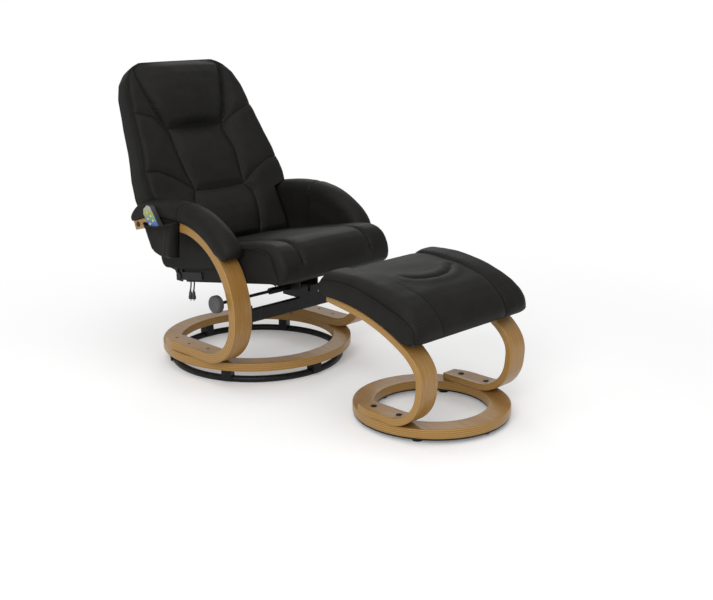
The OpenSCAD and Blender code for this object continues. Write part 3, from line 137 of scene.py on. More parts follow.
# Leather colours: its own colour, a paler colour for random tone, and groove, a painted shade that darkens
# the leather where the seam value is high (seams, edge creases, hems), standing in for the shade in those
# grooves
leather = {"colour": (0.0128, 0.0122, 0.0114), "pale": (0.0158, 0.0150, 0.0141), "rough": 0.49,
           "grain": 1.25, "grainDepth": 0.30, "unevenness": 0.42, "shine": 0.09,
           "groove": (0.0045, 0.0044, 0.0042)}


def leatherMaterial():
    material, start, out = newMaterial("leather")
    place = objectPlace(start)
    wander = place.noise(210, 2, 0.5, 1)
    warped = place.moved(wander.scaled((0.0016, 0.0016, 0.0016)))
    pebble = warped.cells(1000 / leather["grain"])
    fine = place.noise(2600, 2)
    broad = place.noise(9, 3)
    hand = place.noise(34, 3)
    seam = start.node("ShaderNodeAttribute", {"attribute_name": "seam"}, None, 2)
    tone = (broad * 0.6 + hand * 0.4).span(0.36, 0.66)
    worn = tone.mix(leather["colour"], leather["pale"])
    # Painted shade: the seam value darkens the colour toward groove along seams, edge creases and hems, in
    # place of the shade that falls there
    shade = (seam * 0.75).clamp().mix(worn, leather["groove"])
    rough = (leather["rough"] - 0.06) + broad * 0.12 + pebble * 0.10 + seam * 0.1
    height = (pebble.span(0.0, 0.62) * 0.8 + fine * 0.25) * leather["grainDepth"]
    soft = (hand * 1.6 + broad * 2.4) * leather["unevenness"]
    normal = height.bump(0.85, 0.00022, soft.bump(0.75, 0.0013))
    return finished(material, start, out, {
        "Base Color": shade, "Roughness": rough, "Normal": normal,
        "Specular IOR Level": leather["shine"]})


def threadMaterial():
    material, start, out = newMaterial("thread")
    place = objectPlace(start)
    twist = place.noise(1400, 2)
    return finished(material, start, out, {
        "Base Color": twist.mix((0.028, 0.027, 0.026), (0.055, 0.053, 0.05)), "Roughness": 0.6,
        "Normal": twist.bump(0.5, 0.0002)})


wood = {"face": (0.375, 0.208, 0.060), "dark": (0.275, 0.137, 0.031), "edge": (0.285, 0.138, 0.022),
        "edgePale": (0.40, 0.228, 0.058), "glue": (0.155, 0.069, 0.012), "layers": 9}


def beechMaterial():
    material, start, out = newMaterial("beech")
    grain = start.node("ShaderNodeAttribute", {"attribute_name": "grain"}, None, 1)
    edge = start.node("ShaderNodeAttribute", {"attribute_name": "edgeMask"}, None, 2)
    parts = start.node("ShaderNodeSeparateXYZ", None, {0: grain}, 2)
    streak = grain.scaled((5, 85, 60)).noise(2.6, 4, 0.55)
    fleck = grain.scaled((30, 620, 400)).noise(1.4, 2)
    cloud = grain.scaled((2.2, 9, 9)).noise(1.6, 2)
    pores = grain.scaled((120, 2400, 2400)).noise(1.0, 1)
    tone = (streak * 0.62 + cloud * 0.38).span(0.34, 0.66)
    face = tone.mix(wood["face"], wood["dark"])
    face = (fleck.span(0.56, 0.72) * 0.32).mix(face, wood["dark"])
    layer = parts * wood["layers"]
    pair = layer.maths("FLOOR", layer) * 0.5
    odd = pair.maths("FRACT", pair)
    glue = layer.maths("FRACT", layer)
    line = glue.maths("LESS_THAN", glue, 0.12)
    plies = (odd * 1.6 + streak * 0.35 - 0.2).clamp().mix(wood["edgePale"], wood["edge"])
    side = (line * 0.7).mix(plies, wood["glue"])
    colour = edge.mix(face, side)
    rough = 0.36 + streak * 0.10 + edge * 0.10 + pores * 0.05
    height = streak * 0.5 + pores.span(0.55, 0.7) * 0.35 + line * edge * -0.8
    return finished(material, start, out, {
        "Base Color": colour, "Roughness": rough, "Normal": height.bump(0.35, 0.00012),
        "Coat Weight": 0.40, "Coat Roughness": 0.20, "Specular IOR Level": 0.32})


def steelMaterial(name, colour, rough, metallic, speck):
    material, start, out = newMaterial(name)
    place = objectPlace(start)
    mottle = place.noise(60, 3)
    orange = place.noise(900, 2)
    edges = start.node("ShaderNodeBevel", {"samples": 4}, {"Radius": 0.0006})
    pale = tuple(min(1, c * 1.35 + speck) for c in colour)
    return finished(material, start, out, {
        "Base Color": mottle.span(0.35, 0.7).mix(colour, pale),
        "Roughness": (rough - 0.05) + mottle * 0.1, "Metallic": metallic,
        "Specular IOR Level": 0.5 if metallic else 0.2,
        "Normal": orange.bump(0.3, 0.00008, edges)})


def plasticMaterial(name, colour, rough, texture=1500, depth=0.00006):
    material, start, out = newMaterial(name)
    place = objectPlace(start)
    mottle = place.noise(45, 2)
    grit = place.noise(texture, 2)
    edges = start.node("ShaderNodeBevel", {"samples": 4}, {"Radius": 0.0005})
    pale = tuple(min(1, c * 1.25 + 0.004) for c in colour)
    return finished(material, start, out, {
        "Base Color": mottle.span(0.3, 0.7).mix(colour, pale),
        "Roughness": (rough - 0.04) + grit * 0.08, "Normal": grit.bump(0.5, depth, edges)})


handset = {"shell": (0.030, 0.031, 0.033), "shellPale": (0.055, 0.056, 0.058), "blue": (0.045, 0.13, 0.42),
           "teal": (0.10, 0.30, 0.30), "olive": (0.30, 0.34, 0.10), "silver": (0.34, 0.36, 0.33)}


def handsetMaterial():
    material, start, out = newMaterial("handset_plastic")
    grit = objectPlace(start).noise(1600, 2)
    box = start.node("ShaderNodeTexCoord", None, None, 0)
    across = start.node("ShaderNodeSeparateXYZ", None, {0: box}, 0)
    up = start.node("ShaderNodeSeparateXYZ", None, {0: box}, 2) + box.noise(9, 1) * 0.08
    face = up.span(0.70, 0.76).mix(handset["blue"], handset["teal"])
    face = up.span(0.78, 0.84).mix(face, handset["olive"])
    face = up.span(0.90, 0.97).mix(face, handset["silver"])
    shell = grit.mix(handset["shell"], handset["shellPale"])
    return finished(material, start, out, {
        "Base Color": across.span(0.02, 0.07, 1.0, 0.0).mix(shell, face),
        "Roughness": 0.30 + grit * 0.08, "Normal": grit.bump(0.4, 0.00005)})


def webbingMaterial(name, first, second, pitch):
    material, start, out = newMaterial(name)
    place = objectPlace(start)
    across = start.node("ShaderNodeTexWave", {"bands_direction": "X"},
                        {"Vector": place, "Scale": pitch, "Distortion": 0.6, "Detail": 1.0})
    up = start.node("ShaderNodeTexWave", {"bands_direction": "Z"},
                    {"Vector": place, "Scale": pitch, "Distortion": 0.6, "Detail": 1.0}, 1)
    weave = across * 0.5 + up * 0.5
    dust = place.noise(30, 3)
    return finished(material, start, out, {
        "Base Color": (weave * 0.7 + dust * 0.3).mix(first, second), "Roughness": 0.85,
        "Sheen Weight": 0.25, "Normal": weave.bump(0.7, 0.0004)})


def boardMaterial():
    material, start, out = newMaterial("board")
    place = objectPlace(start)
    streak = place.scaled((120, 6, 60)).noise(2.2, 4)
    cloud = place.noise(12, 3)
    tone = (streak * 0.6 + cloud * 0.4).span(0.35, 0.65)
    return finished(material, start, out, {
        "Base Color": tone.mix((0.55, 0.36, 0.19), (0.40, 0.23, 0.11)),
        "Roughness": 0.55 + streak * 0.15, "Normal": streak.bump(0.4, 0.0002)})


finish = {
    "leather": leatherMaterial(),
    "thread": threadMaterial(),
    "beech": beechMaterial(),
    "board": boardMaterial(),
    "black_steel": steelMaterial("black_steel", (0.0085, 0.0085, 0.009), 0.42, 0.0, 0.003),
    "bright_steel": steelMaterial("bright_steel", (0.62, 0.61, 0.59), 0.30, 1.0, 0.05),
    "dark_steel": steelMaterial("dark_steel", (0.034, 0.033, 0.032), 0.38, 1.0, 0.01),
    "grey_plastic": plasticMaterial("grey_plastic", (0.020, 0.020, 0.021), 0.46),
    "knob": plasticMaterial("knob", (0.045, 0.044, 0.046), 0.44, 900, 0.00012),
    "handset_plastic": handsetMaterial(),
    "button_plastic": plasticMaterial("button_plastic", (0.50, 0.42, 0.12), 0.38),
    "webbing": webbingMaterial("webbing", (0.016, 0.016, 0.017), (0.045, 0.044, 0.042), 190),
    "heat_cloth": webbingMaterial("heat_cloth", (0.30, 0.11, 0.06), (0.42, 0.18, 0.10), 320),
}
print("materials ready")


# One at zero and falling off to both sides
def ridge(gap, width=1.6):
    return np.exp(-(gap / width) ** 2)


# From 0 to 1 without a kink at either end
def eased(t):
    t = np.clip(t, 0, 1)
    return t * t * (3 - 2 * t)


# The height of a quarter circle over t
def rounded(t):
    return np.sqrt(np.maximum(0, 1 - (1 - np.clip(t, 0, 1)) ** 2))


def lengthsAlong(line):
    return np.r_[0, np.cumsum(np.linalg.norm(np.diff(line, axis=0), axis=1))]


def headings(line):
    tangent = np.gradient(line, axis=0)
    return tangent / (np.linalg.norm(tangent, axis=1)[:, None] + 1e-9)


# Straight runs between the given pairs, rounded over by soft
def curveAt(pairs, places, soft=0.0):
    pairs = np.array(sorted(pairs), float)
    if soft <= 0:
        return np.interp(places, pairs[:, 0], pairs[:, 1])
    fine = np.arange(pairs[0, 0] - 4 * soft, pairs[-1, 0] + 4 * soft, soft / 4)
    raw = np.interp(fine, pairs[:, 0], pairs[:, 1])
    reach = np.arange(-12, 13)
    kernel = np.exp(-(reach / 4.0) ** 2 / 2)
    raw = np.convolve(np.pad(raw, 12, mode="edge"), kernel / kernel.sum(), mode="valid")
    return np.interp(places, fine, raw)


def smoothPath(points, count, soft=0.0):
    points = np.array(points, float)
    gaps = lengthsAlong(points)
    places = np.linspace(0, gaps[-1], count)
    return np.stack([curveAt(list(zip(gaps, points[:, k])), places, soft) for k in range(points.shape[1])], 1)


def gridFaces(rows, columns, wrap=False, flip=False):
    index = np.arange(rows * columns).reshape(rows, columns)
    if wrap:
        index = np.concatenate([index, index[:, :1]], 1)
    quads = np.stack([index[:-1, :-1], index[:-1, 1:], index[1:, 1:], index[1:, :-1]], -1).reshape(-1, 4)
    return quads[:, ::-1] if flip else quads


def makeObject(name, points, faces, material, body, layers=None):
    mesh = bpy.data.meshes.new(name)
    mesh.from_pydata((np.asarray(points, float) * mm).tolist(), [], [list(map(int, f)) for f in faces])
    for layer, values in (layers or {}).items():
        values = np.asarray(values, np.float32)
        vector = values.ndim == 2
        made = mesh.attributes.new(layer, "FLOAT_VECTOR" if vector else "FLOAT", "POINT")
        made.data.foreach_set("vector" if vector else "value", values.ravel())
    mesh.validate()
    mesh.polygons.foreach_set("use_smooth", [True] * len(mesh.polygons))
    mesh.update()
    obj = bpy.data.objects.new(name, mesh)
    bpy.context.scene.collection.objects.link(obj)
    obj.data.materials.append(finish[material])
    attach(obj, body)
    return obj


def modified(obj):
    bpy.context.view_layer.update()
    graph = bpy.context.evaluated_depsgraph_get()
    made = bpy.data.meshes.new_from_object(obj.evaluated_get(graph), preserve_all_data_layers=True,
                                           depsgraph=graph)
    obj.modifiers.clear()
    old = obj.data
    obj.data = made
    bpy.data.meshes.remove(old)
    return obj


def finer(obj):
    made = obj.modifiers.new("finer", "SUBSURF")
    made.levels = made.render_levels = 1
    return modified(obj)


def outward(obj):
    shape = bmesh.new()
    shape.from_mesh(obj.data)
    bmesh.ops.recalc_face_normals(shape, faces=shape.faces)
    shape.to_mesh(obj.data)
    shape.free()
    return obj


# Runs down a path in the plane x = 0 and notes (y, z, heading) at least every millimetre
def bentLine(start, path):
    y, z, heading = start
    places, spots, run = [0.0], [(y, z, heading)], 0.0
    for size, *bend in path:
        turn = bend[0] if bend else 0
        total = size * math.radians(turn) if bend else size
        count = max(2, math.ceil(total))
        for i in range(count):
            middle = math.radians(heading - turn * (i + 0.5) / count)
            chord = total / count
            y += chord * math.cos(middle)
            z += chord * math.sin(middle)
            places.append(run + total * (i + 1) / count)
            spots.append((y, z, heading - turn * (i + 1) / count))
        heading -= turn
        run += total
    return np.array(places), np.array(spots)


def poseOn(line, places):
    return np.stack([np.interp(places, line[0], line[1][:, k]) for k in range(3)], -1)


# The spots that lie out to the left of the heading
def beside(pose, out):
    angle = np.radians(pose[..., 2])
    return np.stack([pose[..., 0] - out * np.sin(angle), pose[..., 1] + out * np.cos(angle)], -1)


# A box with round corners, counterclockwise from its right side
def roundedBox(width, high, radius, flats, arc):
    arcs = []
    for corner, (x, y) in enumerate(((1, 1), (-1, 1), (-1, -1), (1, -1))):
        angle = np.radians(90 * (corner + np.arange(arc + 1) / arc))
        arcs.append(np.stack([x * (width / 2 - radius) + radius * np.cos(angle),
                              y * (high / 2 - radius) + radius * np.sin(angle)], 1))
    t = np.arange(1, flats + 1)[:, None] / (flats + 1)
    points = []
    for here, following in zip(arcs, arcs[1:] + arcs[:1]):
        points += [here, here[-1] + (following[0] - here[-1]) * t]
    return np.concatenate(points)


def revolve(profile, turns, centre):
    profile = np.array(profile, float)
    angle = np.linspace(0, 2 * math.pi, turns, endpoint=False)
    return np.stack([profile[:, None, 0] * np.cos(angle) + centre[0],
                     profile[:, None, 0] * np.sin(angle) + centre[1],
                     profile[:, None, 1] + np.zeros(turns) + centre[2]], -1)


def cutHoles(obj, holes):
    shape = bmesh.new()
    for (x, y, low, high, diameter) in holes:
        place = Matrix.Translation((x * mm, y * mm, (low + high) / 2 * mm))
        bmesh.ops.create_cone(shape, cap_ends=True, segments=40, radius1=diameter / 2 * mm,
                              radius2=diameter / 2 * mm, depth=(high - low) * mm, matrix=place)
    mesh = bpy.data.meshes.new("cutter")
    shape.to_mesh(mesh)
    shape.free()
    cutter = bpy.data.objects.new("cutter", mesh)
    bpy.context.scene.collection.objects.link(cutter)
    made = obj.modifiers.new("holes", "BOOLEAN")
    made.object, made.operation, made.solver = cutter, "DIFFERENCE", "EXACT"
    modified(obj)
    bpy.data.objects.remove(cutter)
    bpy.data.meshes.remove(mesh)
    smoothed(obj, 35)


def smoothed(obj, angle):
    shape = bmesh.new()
    shape.from_mesh(obj.data)
    for face in shape.faces:
        face.smooth = True
    for edge in shape.edges:
        edge.smooth = not (len(edge.link_faces) == 2 and edge.calc_face_angle(0) > math.radians(angle))
    shape.to_mesh(obj.data)
    shape.free()


def lineDistance(points, lines):
    best = np.full(len(points), 1e9)
    for line in lines:
        line = np.array(line, float)
        for a, b in zip(line[:-1], line[1:]):
            d = b - a
            t = np.clip(((points - a) @ d) / max(1e-9, d @ d), 0, 1)
            best = np.minimum(best, np.linalg.norm(points - (a + t[:, None] * d), axis=1))
    return best


def mirroredLines(lines):
    return list(lines) + [[(-x, *rest) for x, *rest in line] for line in lines]


# A closed skin over rings of points; each end is closed by a fan, and no seam runs over a fan's middle
def makeSkin(name, grid, material, body, layers=None):
    rows, columns = grid.shape[:2]
    points = list(grid.reshape(-1, 3))
    faces = [tuple(f) for f in gridFaces(rows, columns, wrap=True)]
    values = {layer: list(np.concatenate(given)) for layer, given in (layers or {}).items()}
    for first in (0, (rows - 1) * columns):
        ring = list(range(first, first + columns))
        faces += [(a, b, len(points)) for a, b in zip(ring, ring[1:] + ring[:1])]
        points.append(np.mean([points[i] for i in ring], axis=0))
        for layer, given in values.items():
            given.append(np.mean([given[i] for i in ring], axis=0) * (layer != "seam"))
    return outward(makeObject(name, points, faces, material, body, layers=values))


# Makes one point of all that lie closer than gap, which is in metres
def joined(obj, gap):
    shape = bmesh.new()
    shape.from_mesh(obj.data)
    bmesh.ops.remove_doubles(shape, verts=shape.verts, dist=gap)
    shape.to_mesh(obj.data)
    shape.free()
    return outward(obj)


def thickened(obj, thick):
    made = obj.modifiers.new("thick", "SOLIDIFY")
    made.thickness, made.offset = thick * mm, -1
    return outward(modified(obj))


# The camera's place in metres, the direction it looks in and its lens
view = {"place": (-2.3175, -2.7843, 1.2105), "aim": (0.6824, 0.6788, -0.2713), "lens": 55.49}


def makeCamera():
    data = bpy.data.cameras.new("camera")
    data.lens, data.sensor_width, data.sensor_fit = view["lens"], 36, "HORIZONTAL"
    data.clip_end = 200
    obj = bpy.data.objects.new("camera", data)
    obj.location = view["place"]
    obj.rotation_euler = Vector(view["aim"]).to_track_quat("-Z", "Y").to_euler()
    bpy.context.scene.collection.objects.link(obj)
    bpy.context.scene.camera = obj


makeCamera()
print("camera ready")


# Two short leads hang under the seat's side, each ending in a plug
lead = {"diameter": 5, "stations": 25, "soft": 1.5,
        "fall": [(0, 0), (0, -6), (0.5, -12), (1.5, -18), (3, -24), (4.5, -30), (5, -36)],
        "tops": {"adaptor": (-226, 63, 289.2), "stool": (-226, 45, 292.22)}}
plug = {"waist": 10.5, "body": 14, "pin": 5.5, "ridges": 12, "ridgePitch": 0.9}


def leadSpots(top):
    return [(top[0], top[1] + along, top[2] + down) for along, down in lead["fall"]]


def makeLead(name, top):
    line = smoothPath(leadSpots(top), lead["stations"], lead["soft"])
    line[0], line[-1] = top, leadSpots(top)[-1]
    curve = bpy.data.curves.new(name, "CURVE")
    curve.dimensions = "3D"
    spline = curve.splines.new("POLY")
    spline.points.add(len(line) - 1)
    for point, place in zip(spline.points, line):
        point.co = (*(place * mm), 1)
    curve.bevel_depth, curve.bevel_resolution, curve.use_fill_caps = lead["diameter"] / 2 * mm, 5, True
    obj = bpy.data.objects.new(name, curve)
    bpy.context.scene.collection.objects.link(obj)
    obj.data.materials.append(finish["grey_plastic"])
    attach(obj, "seat")
    return obj, float(lengthsAlong(line)[-1])


def makePlug(name, top):
    waist, body, pin = plug["waist"] / 2, plug["body"] / 2, plug["pin"] / 2
    relief = [(2.9, 7), (3.1, 6.4), (2.75, 5.8), (3.2, 5), (2.9, 4.2), (3.5, 3.4), (3.2, 2.6), (4.0, 1.8),
              (3.7, 1.0), (4.3, 0.2)]
    neck = [(4.45, -0.6), (waist, -2), (waist, -10.5), (waist + 0.7, -12)]
    ridges = [(body - (0.45 if i % 2 else 0), -12.8 - i * plug["ridgePitch"]) for i in range(plug["ridges"])]
    tip = [(body - 0.5, -23.7), (4.6, -24), (pin, -24.1), (pin, -26.4), (pin - 0.25, -26.6),
           (pin - 0.25, -27.1), (pin, -27.3), (pin, -29.4), (pin - 0.5, -30)]
    end = leadSpots(top)[-1]
    rings = revolve(relief + neck + ridges + tip, 28, end)
    obj = makeSkin(name, rings, "grey_plastic", "seat")
    obj.data.materials.append(finish["bright_steel"])
    for face in obj.data.polygons:
        if face.center.z < (end[2] - 24) * mm:
            face.material_index = 1
    smoothed(obj, 30)
    return obj


for kind, top in lead["tops"].items():
    line, length = makeLead(kind + "_lead_round", top)
    end = makePlug(kind + "_plug", top)
    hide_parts(kind + "_lead")
    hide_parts(kind + "_connector")
    print("lead", kind, "length", round(length, 2))


# Laminated bentwood. A strip's path is made of straights, (length,), and bends, (radius, degrees)
base = {"outer": 320, "inner": 260, "low": 47, "high": 74.5, "edge": 3.2}
footRing = {"outer": 234, "inner": 168, "low": 17, "high": 44.5, "edge": 3.2}
arm = {"outer": 314, "width": 70, "thick": 30, "edge": 3,
       "start": (117, 89.5, 180), "path": [(233,), (137, 86), (8,), (252, 91), (50,), (490, 24.5)]}
leg = {"outer": 232, "width": 70, "thick": 21, "edge": 2.6,
       "start": (-697, 55, 180), "path": [(136,), (109, 85), (22,), (83, 42), (150, 21), (560, 23), (92,)]}
armBolt = {"circle": 290, "spread": 83, "middle": 0, "steps": (-1, 0, 1), "cut": 110,
           "ringHole": (40, 90, 12), "stripHole": (60, 110, 9), "headHole": (98.5, 112, 20)}
legBolt = {"circle": 201, "spread": 49, "middle": -792, "steps": (-1, 1), "cut": 70,
           "ringHole": (10, 60, 10), "stripHole": (40, 80, 7), "headHole": (66.5, 74, 19)}


# Low edge, high edge and diameter of each hole stand in the bolt's dictionary; side 0 drills both sides
def drill(obj, bolt, side, *kinds):
    places = [(sign * math.sqrt(bolt["circle"] ** 2 - (bolt["spread"] * step) ** 2),
               bolt["middle"] + bolt["spread"] * step) for sign in (-1, 1) for step in bolt["steps"]]
    cutHoles(obj, [(x, y, *bolt[kind]) for kind in kinds for x, y in places if x * side >= 0])


# A strip's foot is cut to the ring it stands on, behind the ring's middle and below the bolts' cut height
def makeStrip(name, node, values, side, body, ring, bolt):
    line = bentLine(values["start"], values["path"])
    total = line[0][-1]
    edge, thick, width = values["edge"], values["thick"], values["width"]
    section = roundedBox(width, thick, edge, 3, 4)
    corner = [(edge * (1 - math.cos(a)), edge * (1 - math.sin(a))) for a in np.linspace(0, math.pi / 2, 5)]
    stations = corner + [(place, 0) for place in np.arange(edge, total - edge, 6.0)[1:]] + \
        [(total - place, inset) for place, inset in corner]
    rows, grain = [], []
    for place, inset in sorted(stations):
        pose = poseOn(line, np.array([place]))[0]
        scaled = section * np.array([(width / 2 - inset) / (width / 2), (thick / 2 - inset) / (thick / 2)])
        spots = beside(pose[None, :], scaled[:, 1])
        x = side * (values["outer"] - width / 2 + scaled[:, 0])
        cut = (spots[:, 0] > bolt["middle"] + 1) & (spots[:, 1] < bolt["cut"])
        limit = np.sqrt(np.maximum(0, ring["outer"] ** 2 - (spots[:, 0] - bolt["middle"]) ** 2))
        x = np.where(cut & (np.abs(x) > limit), side * limit, x)
        rows.append(np.stack([x, spots[:, 0], spots[:, 1]], 1))
        grain.append(np.stack([np.full(len(section), place), section[:, 0] + side * 200,
                               (section[:, 1] / thick + 0.5) * 1000], 1) * mm)
    mask = np.repeat((np.abs(section[:, 0]) > width / 2 - edge * 0.5).astype(float)[None, :], len(rows), 0)
    mask[[0, -1]] = 1.0
    obj = makeSkin(name, np.array(rows), "beech", body, {"grain": grain, "edgeMask": mask})
    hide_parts(node)
    drill(obj, bolt, side, "stripHole", "headHole")


def makeRing(name, node, values, body, bolt):
    wide, high = values["outer"] - values["inner"], values["high"] - values["low"]
    section = roundedBox(wide, high, values["edge"], 5, 4)
    middle = [(values["outer"] + values["inner"]) / 2, (values["low"] + values["high"]) / 2]
    rows, turns = len(section), 240
    points = revolve(section + np.array(middle), turns, (0, bolt["middle"], 0)).reshape(-1, 3)
    last, onward = np.arange(turns) + (rows - 1) * turns, np.roll(np.arange(turns), -1)
    closing = np.stack([last, onward + (rows - 1) * turns, onward, np.arange(turns)], 1)
    faces = np.concatenate([gridFaces(rows, turns, wrap=True), closing])
    grain = np.stack([points[:, 1] - bolt["middle"], points[:, 0] + 40,
                      (points[:, 2] - values["low"]) / high * 1000], 1) * mm
    radius = np.hypot(points[:, 0], points[:, 1] - bolt["middle"])
    lip = values["edge"] * 0.5
    mask = ((radius > values["outer"] - lip) | (radius < values["inner"] + lip)).astype(float)
    obj = makeObject(name, points, faces, "beech", body, {"grain": grain, "edgeMask": mask})
    outward(obj)
    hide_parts(node)
    drill(obj, bolt, 0, "ringHole")


makeRing("turning_ring", "base_ring", base, "turntable", armBolt)
makeRing("stool_foot_ring", "stool_ring", footRing, "footstool", legBolt)
for side, word in sides:
    makeStrip(word + "_bentwood_arm", word + "_arm_frame", arm, side, "turntable", base, armBolt)
    makeStrip(word + "_bentwood_leg", f"stool_{word}_leg", leg, side, "footstool", footRing, legBolt)
print("bentwood ready")


# One thread stitch is a short spindle laid on the leather; proud is how far it stands off
stitch = {"long": 3.3, "pitch": 5.0, "thick": 0.42, "taper": 0.45, "proud": 0.25, "sides": 6}


def makeStitches(name, target, lines, body):
    tree = BVHTree.FromObject(target, bpy.context.evaluated_depsgraph_get())
    ring, half = stitch["sides"], stitch["long"] / 2
    shoulder = half - stitch["taper"]
    profile = [(-half, 0.25), (-shoulder, 0.85), (0, 1), (shoulder, 0.85), (half, 0.25)]
    points, faces = [], []
    for line in lines:
        gaps = lengthsAlong(line)
        for place in np.arange(stitch["pitch"] / 2, gaps[-1] - stitch["pitch"] / 2, stitch["pitch"]):
            spots = []
            for end in (place - half, place + half):
                here = np.array([np.interp(end, gaps, line[:, k]) for k in range(3)])
                spot, normal, _, gap = tree.find_nearest(Vector(here * mm))
                if spot is None or gap > 0.03:
                    break
                spots.append((np.array(spot) / mm + np.array(normal) * stitch["proud"], np.array(normal)))
            if len(spots) < 2:
                continue
            middle = (spots[0][0] + spots[1][0]) / 2
            along = spots[1][0] - spots[0][0]
            size = np.linalg.norm(along)
            if size < 0.5:
                continue
            along /= size
            normal = spots[0][1] + spots[1][1]
            normal -= along * (normal @ along)
            normal /= max(1e-6, np.linalg.norm(normal))
            across = np.cross(along, normal)
            first = len(points)
            for d, r in profile:
                for k in range(ring):
                    a = 2 * math.pi * k / ring
                    points.append(middle + along * d + (across * math.cos(a) + normal * math.sin(a) * 0.8)
                                  * stitch["thick"] * r)
            for i in range(len(profile) - 1):
                for k in range(ring):
                    a, b = first + i * ring + k, first + i * ring + (k + 1) % ring
                    faces.append((a, b, b + ring, a + ring))
            faces.append(tuple(first + k for k in reversed(range(ring))))
            faces.append(tuple(first + (len(profile) - 1) * ring + k for k in range(ring)))
    makeObject(name, points, faces, "thread", body)


def makeTube(name, line, radius, body, count):
    normal = np.cross(headings(line)[0], (0.31, 0.17, 0.93))
    angle = 2 * math.pi * np.arange(count) / count
    rings = []
    for place, along in zip(line, headings(line)):
        normal = normal - along * (normal @ along)
        normal /= np.linalg.norm(normal) + 1e-9
        across = np.cross(along, normal)
        rings.append(place + radius * (np.outer(np.cos(angle), normal) + np.outer(np.sin(angle), across)))
    makeSkin(name, np.array(rings), "leather", body)


# The backrest in its own frame: u runs up it from low to top, out stands off its front
backrest = {"foot": (90, 400), "lean": 28, "low": -78, "top": 655, "half": 232, "wing": 60, "rim": 9,
            "round": 25, "pillow": 6.5, "crease": 4.6, "rearRound": 9, "wide": 520, "cell": 2.6,
            "quickCell": 4.5}
backSin, backCos = math.sin(math.radians(backrest["lean"])), math.cos(math.radians(backrest["lean"]))


def backPoint(x, out, u):
    return np.stack([x + 0 * u, backrest["foot"][0] - out * backCos + u * backSin,
                     backrest["foot"][1] + out * backSin + u * backCos], -1)


# Over u: how far the wings spread, the panel's edge, and how far out the middle, that edge, the
# bolsters and the rear lie
backOutline = [(-78, 0), (154, 0), (157, .25), (163, .68), (174, .93), (206, 1), (266, .93), (324, .72),
               (363, .6), (447, .43), (480, .33), (550, .16), (600, -.12), (634, -.58), (648, -.95),
               (655, -1.37)]
panelLine = [(-78, 88), (0, 96), (60, 112), (140, 122), (187, 106), (200, 110), (250, 118), (320, 121),
             (403, 114), (421, 118), (486, 146), (567, 170), (625, 182), (655, 176)]
centreOut = [(-78, -30), (-40, -16), (0, 12), (30, 22), (70, 29), (110, 27), (150, 14), (175, 2), (187, -5),
             (205, 0), (240, 4), (290, 5), (330, 1), (370, -7), (400, -20), (421, -27), (430, -12),
             (445, 4), (470, 16), (510, 23), (560, 24), (600, 19), (630, 8), (645, -4), (655, -14)]
panelOut = [(-78, -28), (-8, 2), (50, 14), (140, 6), (187, -5), (250, -6), (320, -8), (403, -24),
            (421, -26), (486, -16), (567, -12), (630, -12), (655, -14)]
bolsterOut = [(-78, -30), (-8, -2), (30, 8), (100, 12), (187, 8), (240, 10), (330, 12), (420, 8), (474, 8),
              (560, 4), (620, -2), (655, -14)]
rearDepth = [(-78, 50), (-46, 96), (-20, 130), (11, 139), (60, 128), (150, 98), (250, 86), (350, 80),
             (450, 76), (560, 72), (632, 62), (655, 44.3)]
backSeams = mirroredLines([
    [(118, 421), (146, 486), (170, 567), (182, 630), (178, 655)],
    [(118, 421), (113, 403), (121, 320), (114, 250), (104, 187)],
    [(118, 421), (150, 437), (180, 451), (215, 465), (246, 474), (262, 476)],
    [(104, 187), (145, 214), (182, 237), (233, 262), (278, 268), (294, 268)],
    [(126, 152), (124, 120), (118, 80), (110, 50), (100, 10), (95, -8), (92, -40)],
    [(104, 187), (126, 152)],
]) + [[(-118, 421), (-60, 419), (0, 418), (60, 419), (118, 421)],
      [(-104, 187), (-50, 184), (0, 183), (50, 184), (104, 187)]]


def backHalf(u):
    return backrest["half"] + curveAt(backOutline, u, 3) * backrest["wing"]


# The lower end draws back behind the seat's cushion
def behindSeat(u):
    return 5.9 - 0.334 * (u + 12.1) + 2.7 + np.where(u < -48, 8.5 * np.maximum(0, (-48 - u) / 30) ** 1.3, 0)


def backSurface(s, u):
    half = backHalf(u)
    x = s * half
    a = np.abs(x)
    panel = np.minimum(curveAt(panelLine, u, 6), half - 20)
    centre, line, bolster = curveAt(centreOut, u, 4), curveAt(panelOut, u, 8), curveAt(bolsterOut, u, 8)
    inner = np.clip(a / panel, 0, 1)
    t = np.clip((a - panel) / (half - panel), 0, 1)
    rise = np.sin(math.pi / 2 * np.clip(t / 0.5, 0, 1))
    out = np.where(a <= panel, centre + (line - centre) * inner ** 2.3, line + (bolster - line) * rise)
    gap = lineDistance(np.stack([x, u], -1).reshape(-1, 2), backSeams).reshape(x.shape)
    deep = np.clip((652 - u) / 34, 0, 1)
    out = out + backrest["pillow"] * (1 - deep * ridge(gap, 17)) - deep * backrest["crease"] * ridge(gap, 3.4)
    pucker = np.sin(x * 0.42 + u * 0.31 + 2 * np.sin(u * 0.07)) * np.sin(u * 0.45 - x * 0.2)
    out = out + 0.9 * pucker * ridge(gap - 7, 6)
    out = out + 1.3 * np.sin(x * 0.031 + 1.3 * np.sin(u * 0.023)) * np.sin(u * 0.037 + 0.8)
    rim = -np.maximum(backrest["rim"], np.where(u < 16, behindSeat(u) + 0.6, 0))
    edge = half - a
    out = rim + (out - rim) * rounded(edge / backrest["round"]) - 1.8 * ridge(edge - 6, 2.6) * (u > 20)
    tuck = eased((16 - u) / 24)
    out = np.where(u < 16, np.minimum(out, out * (1 - tuck) - (behindSeat(u) + 0.4) * tuck), out)
    return x, out, gap


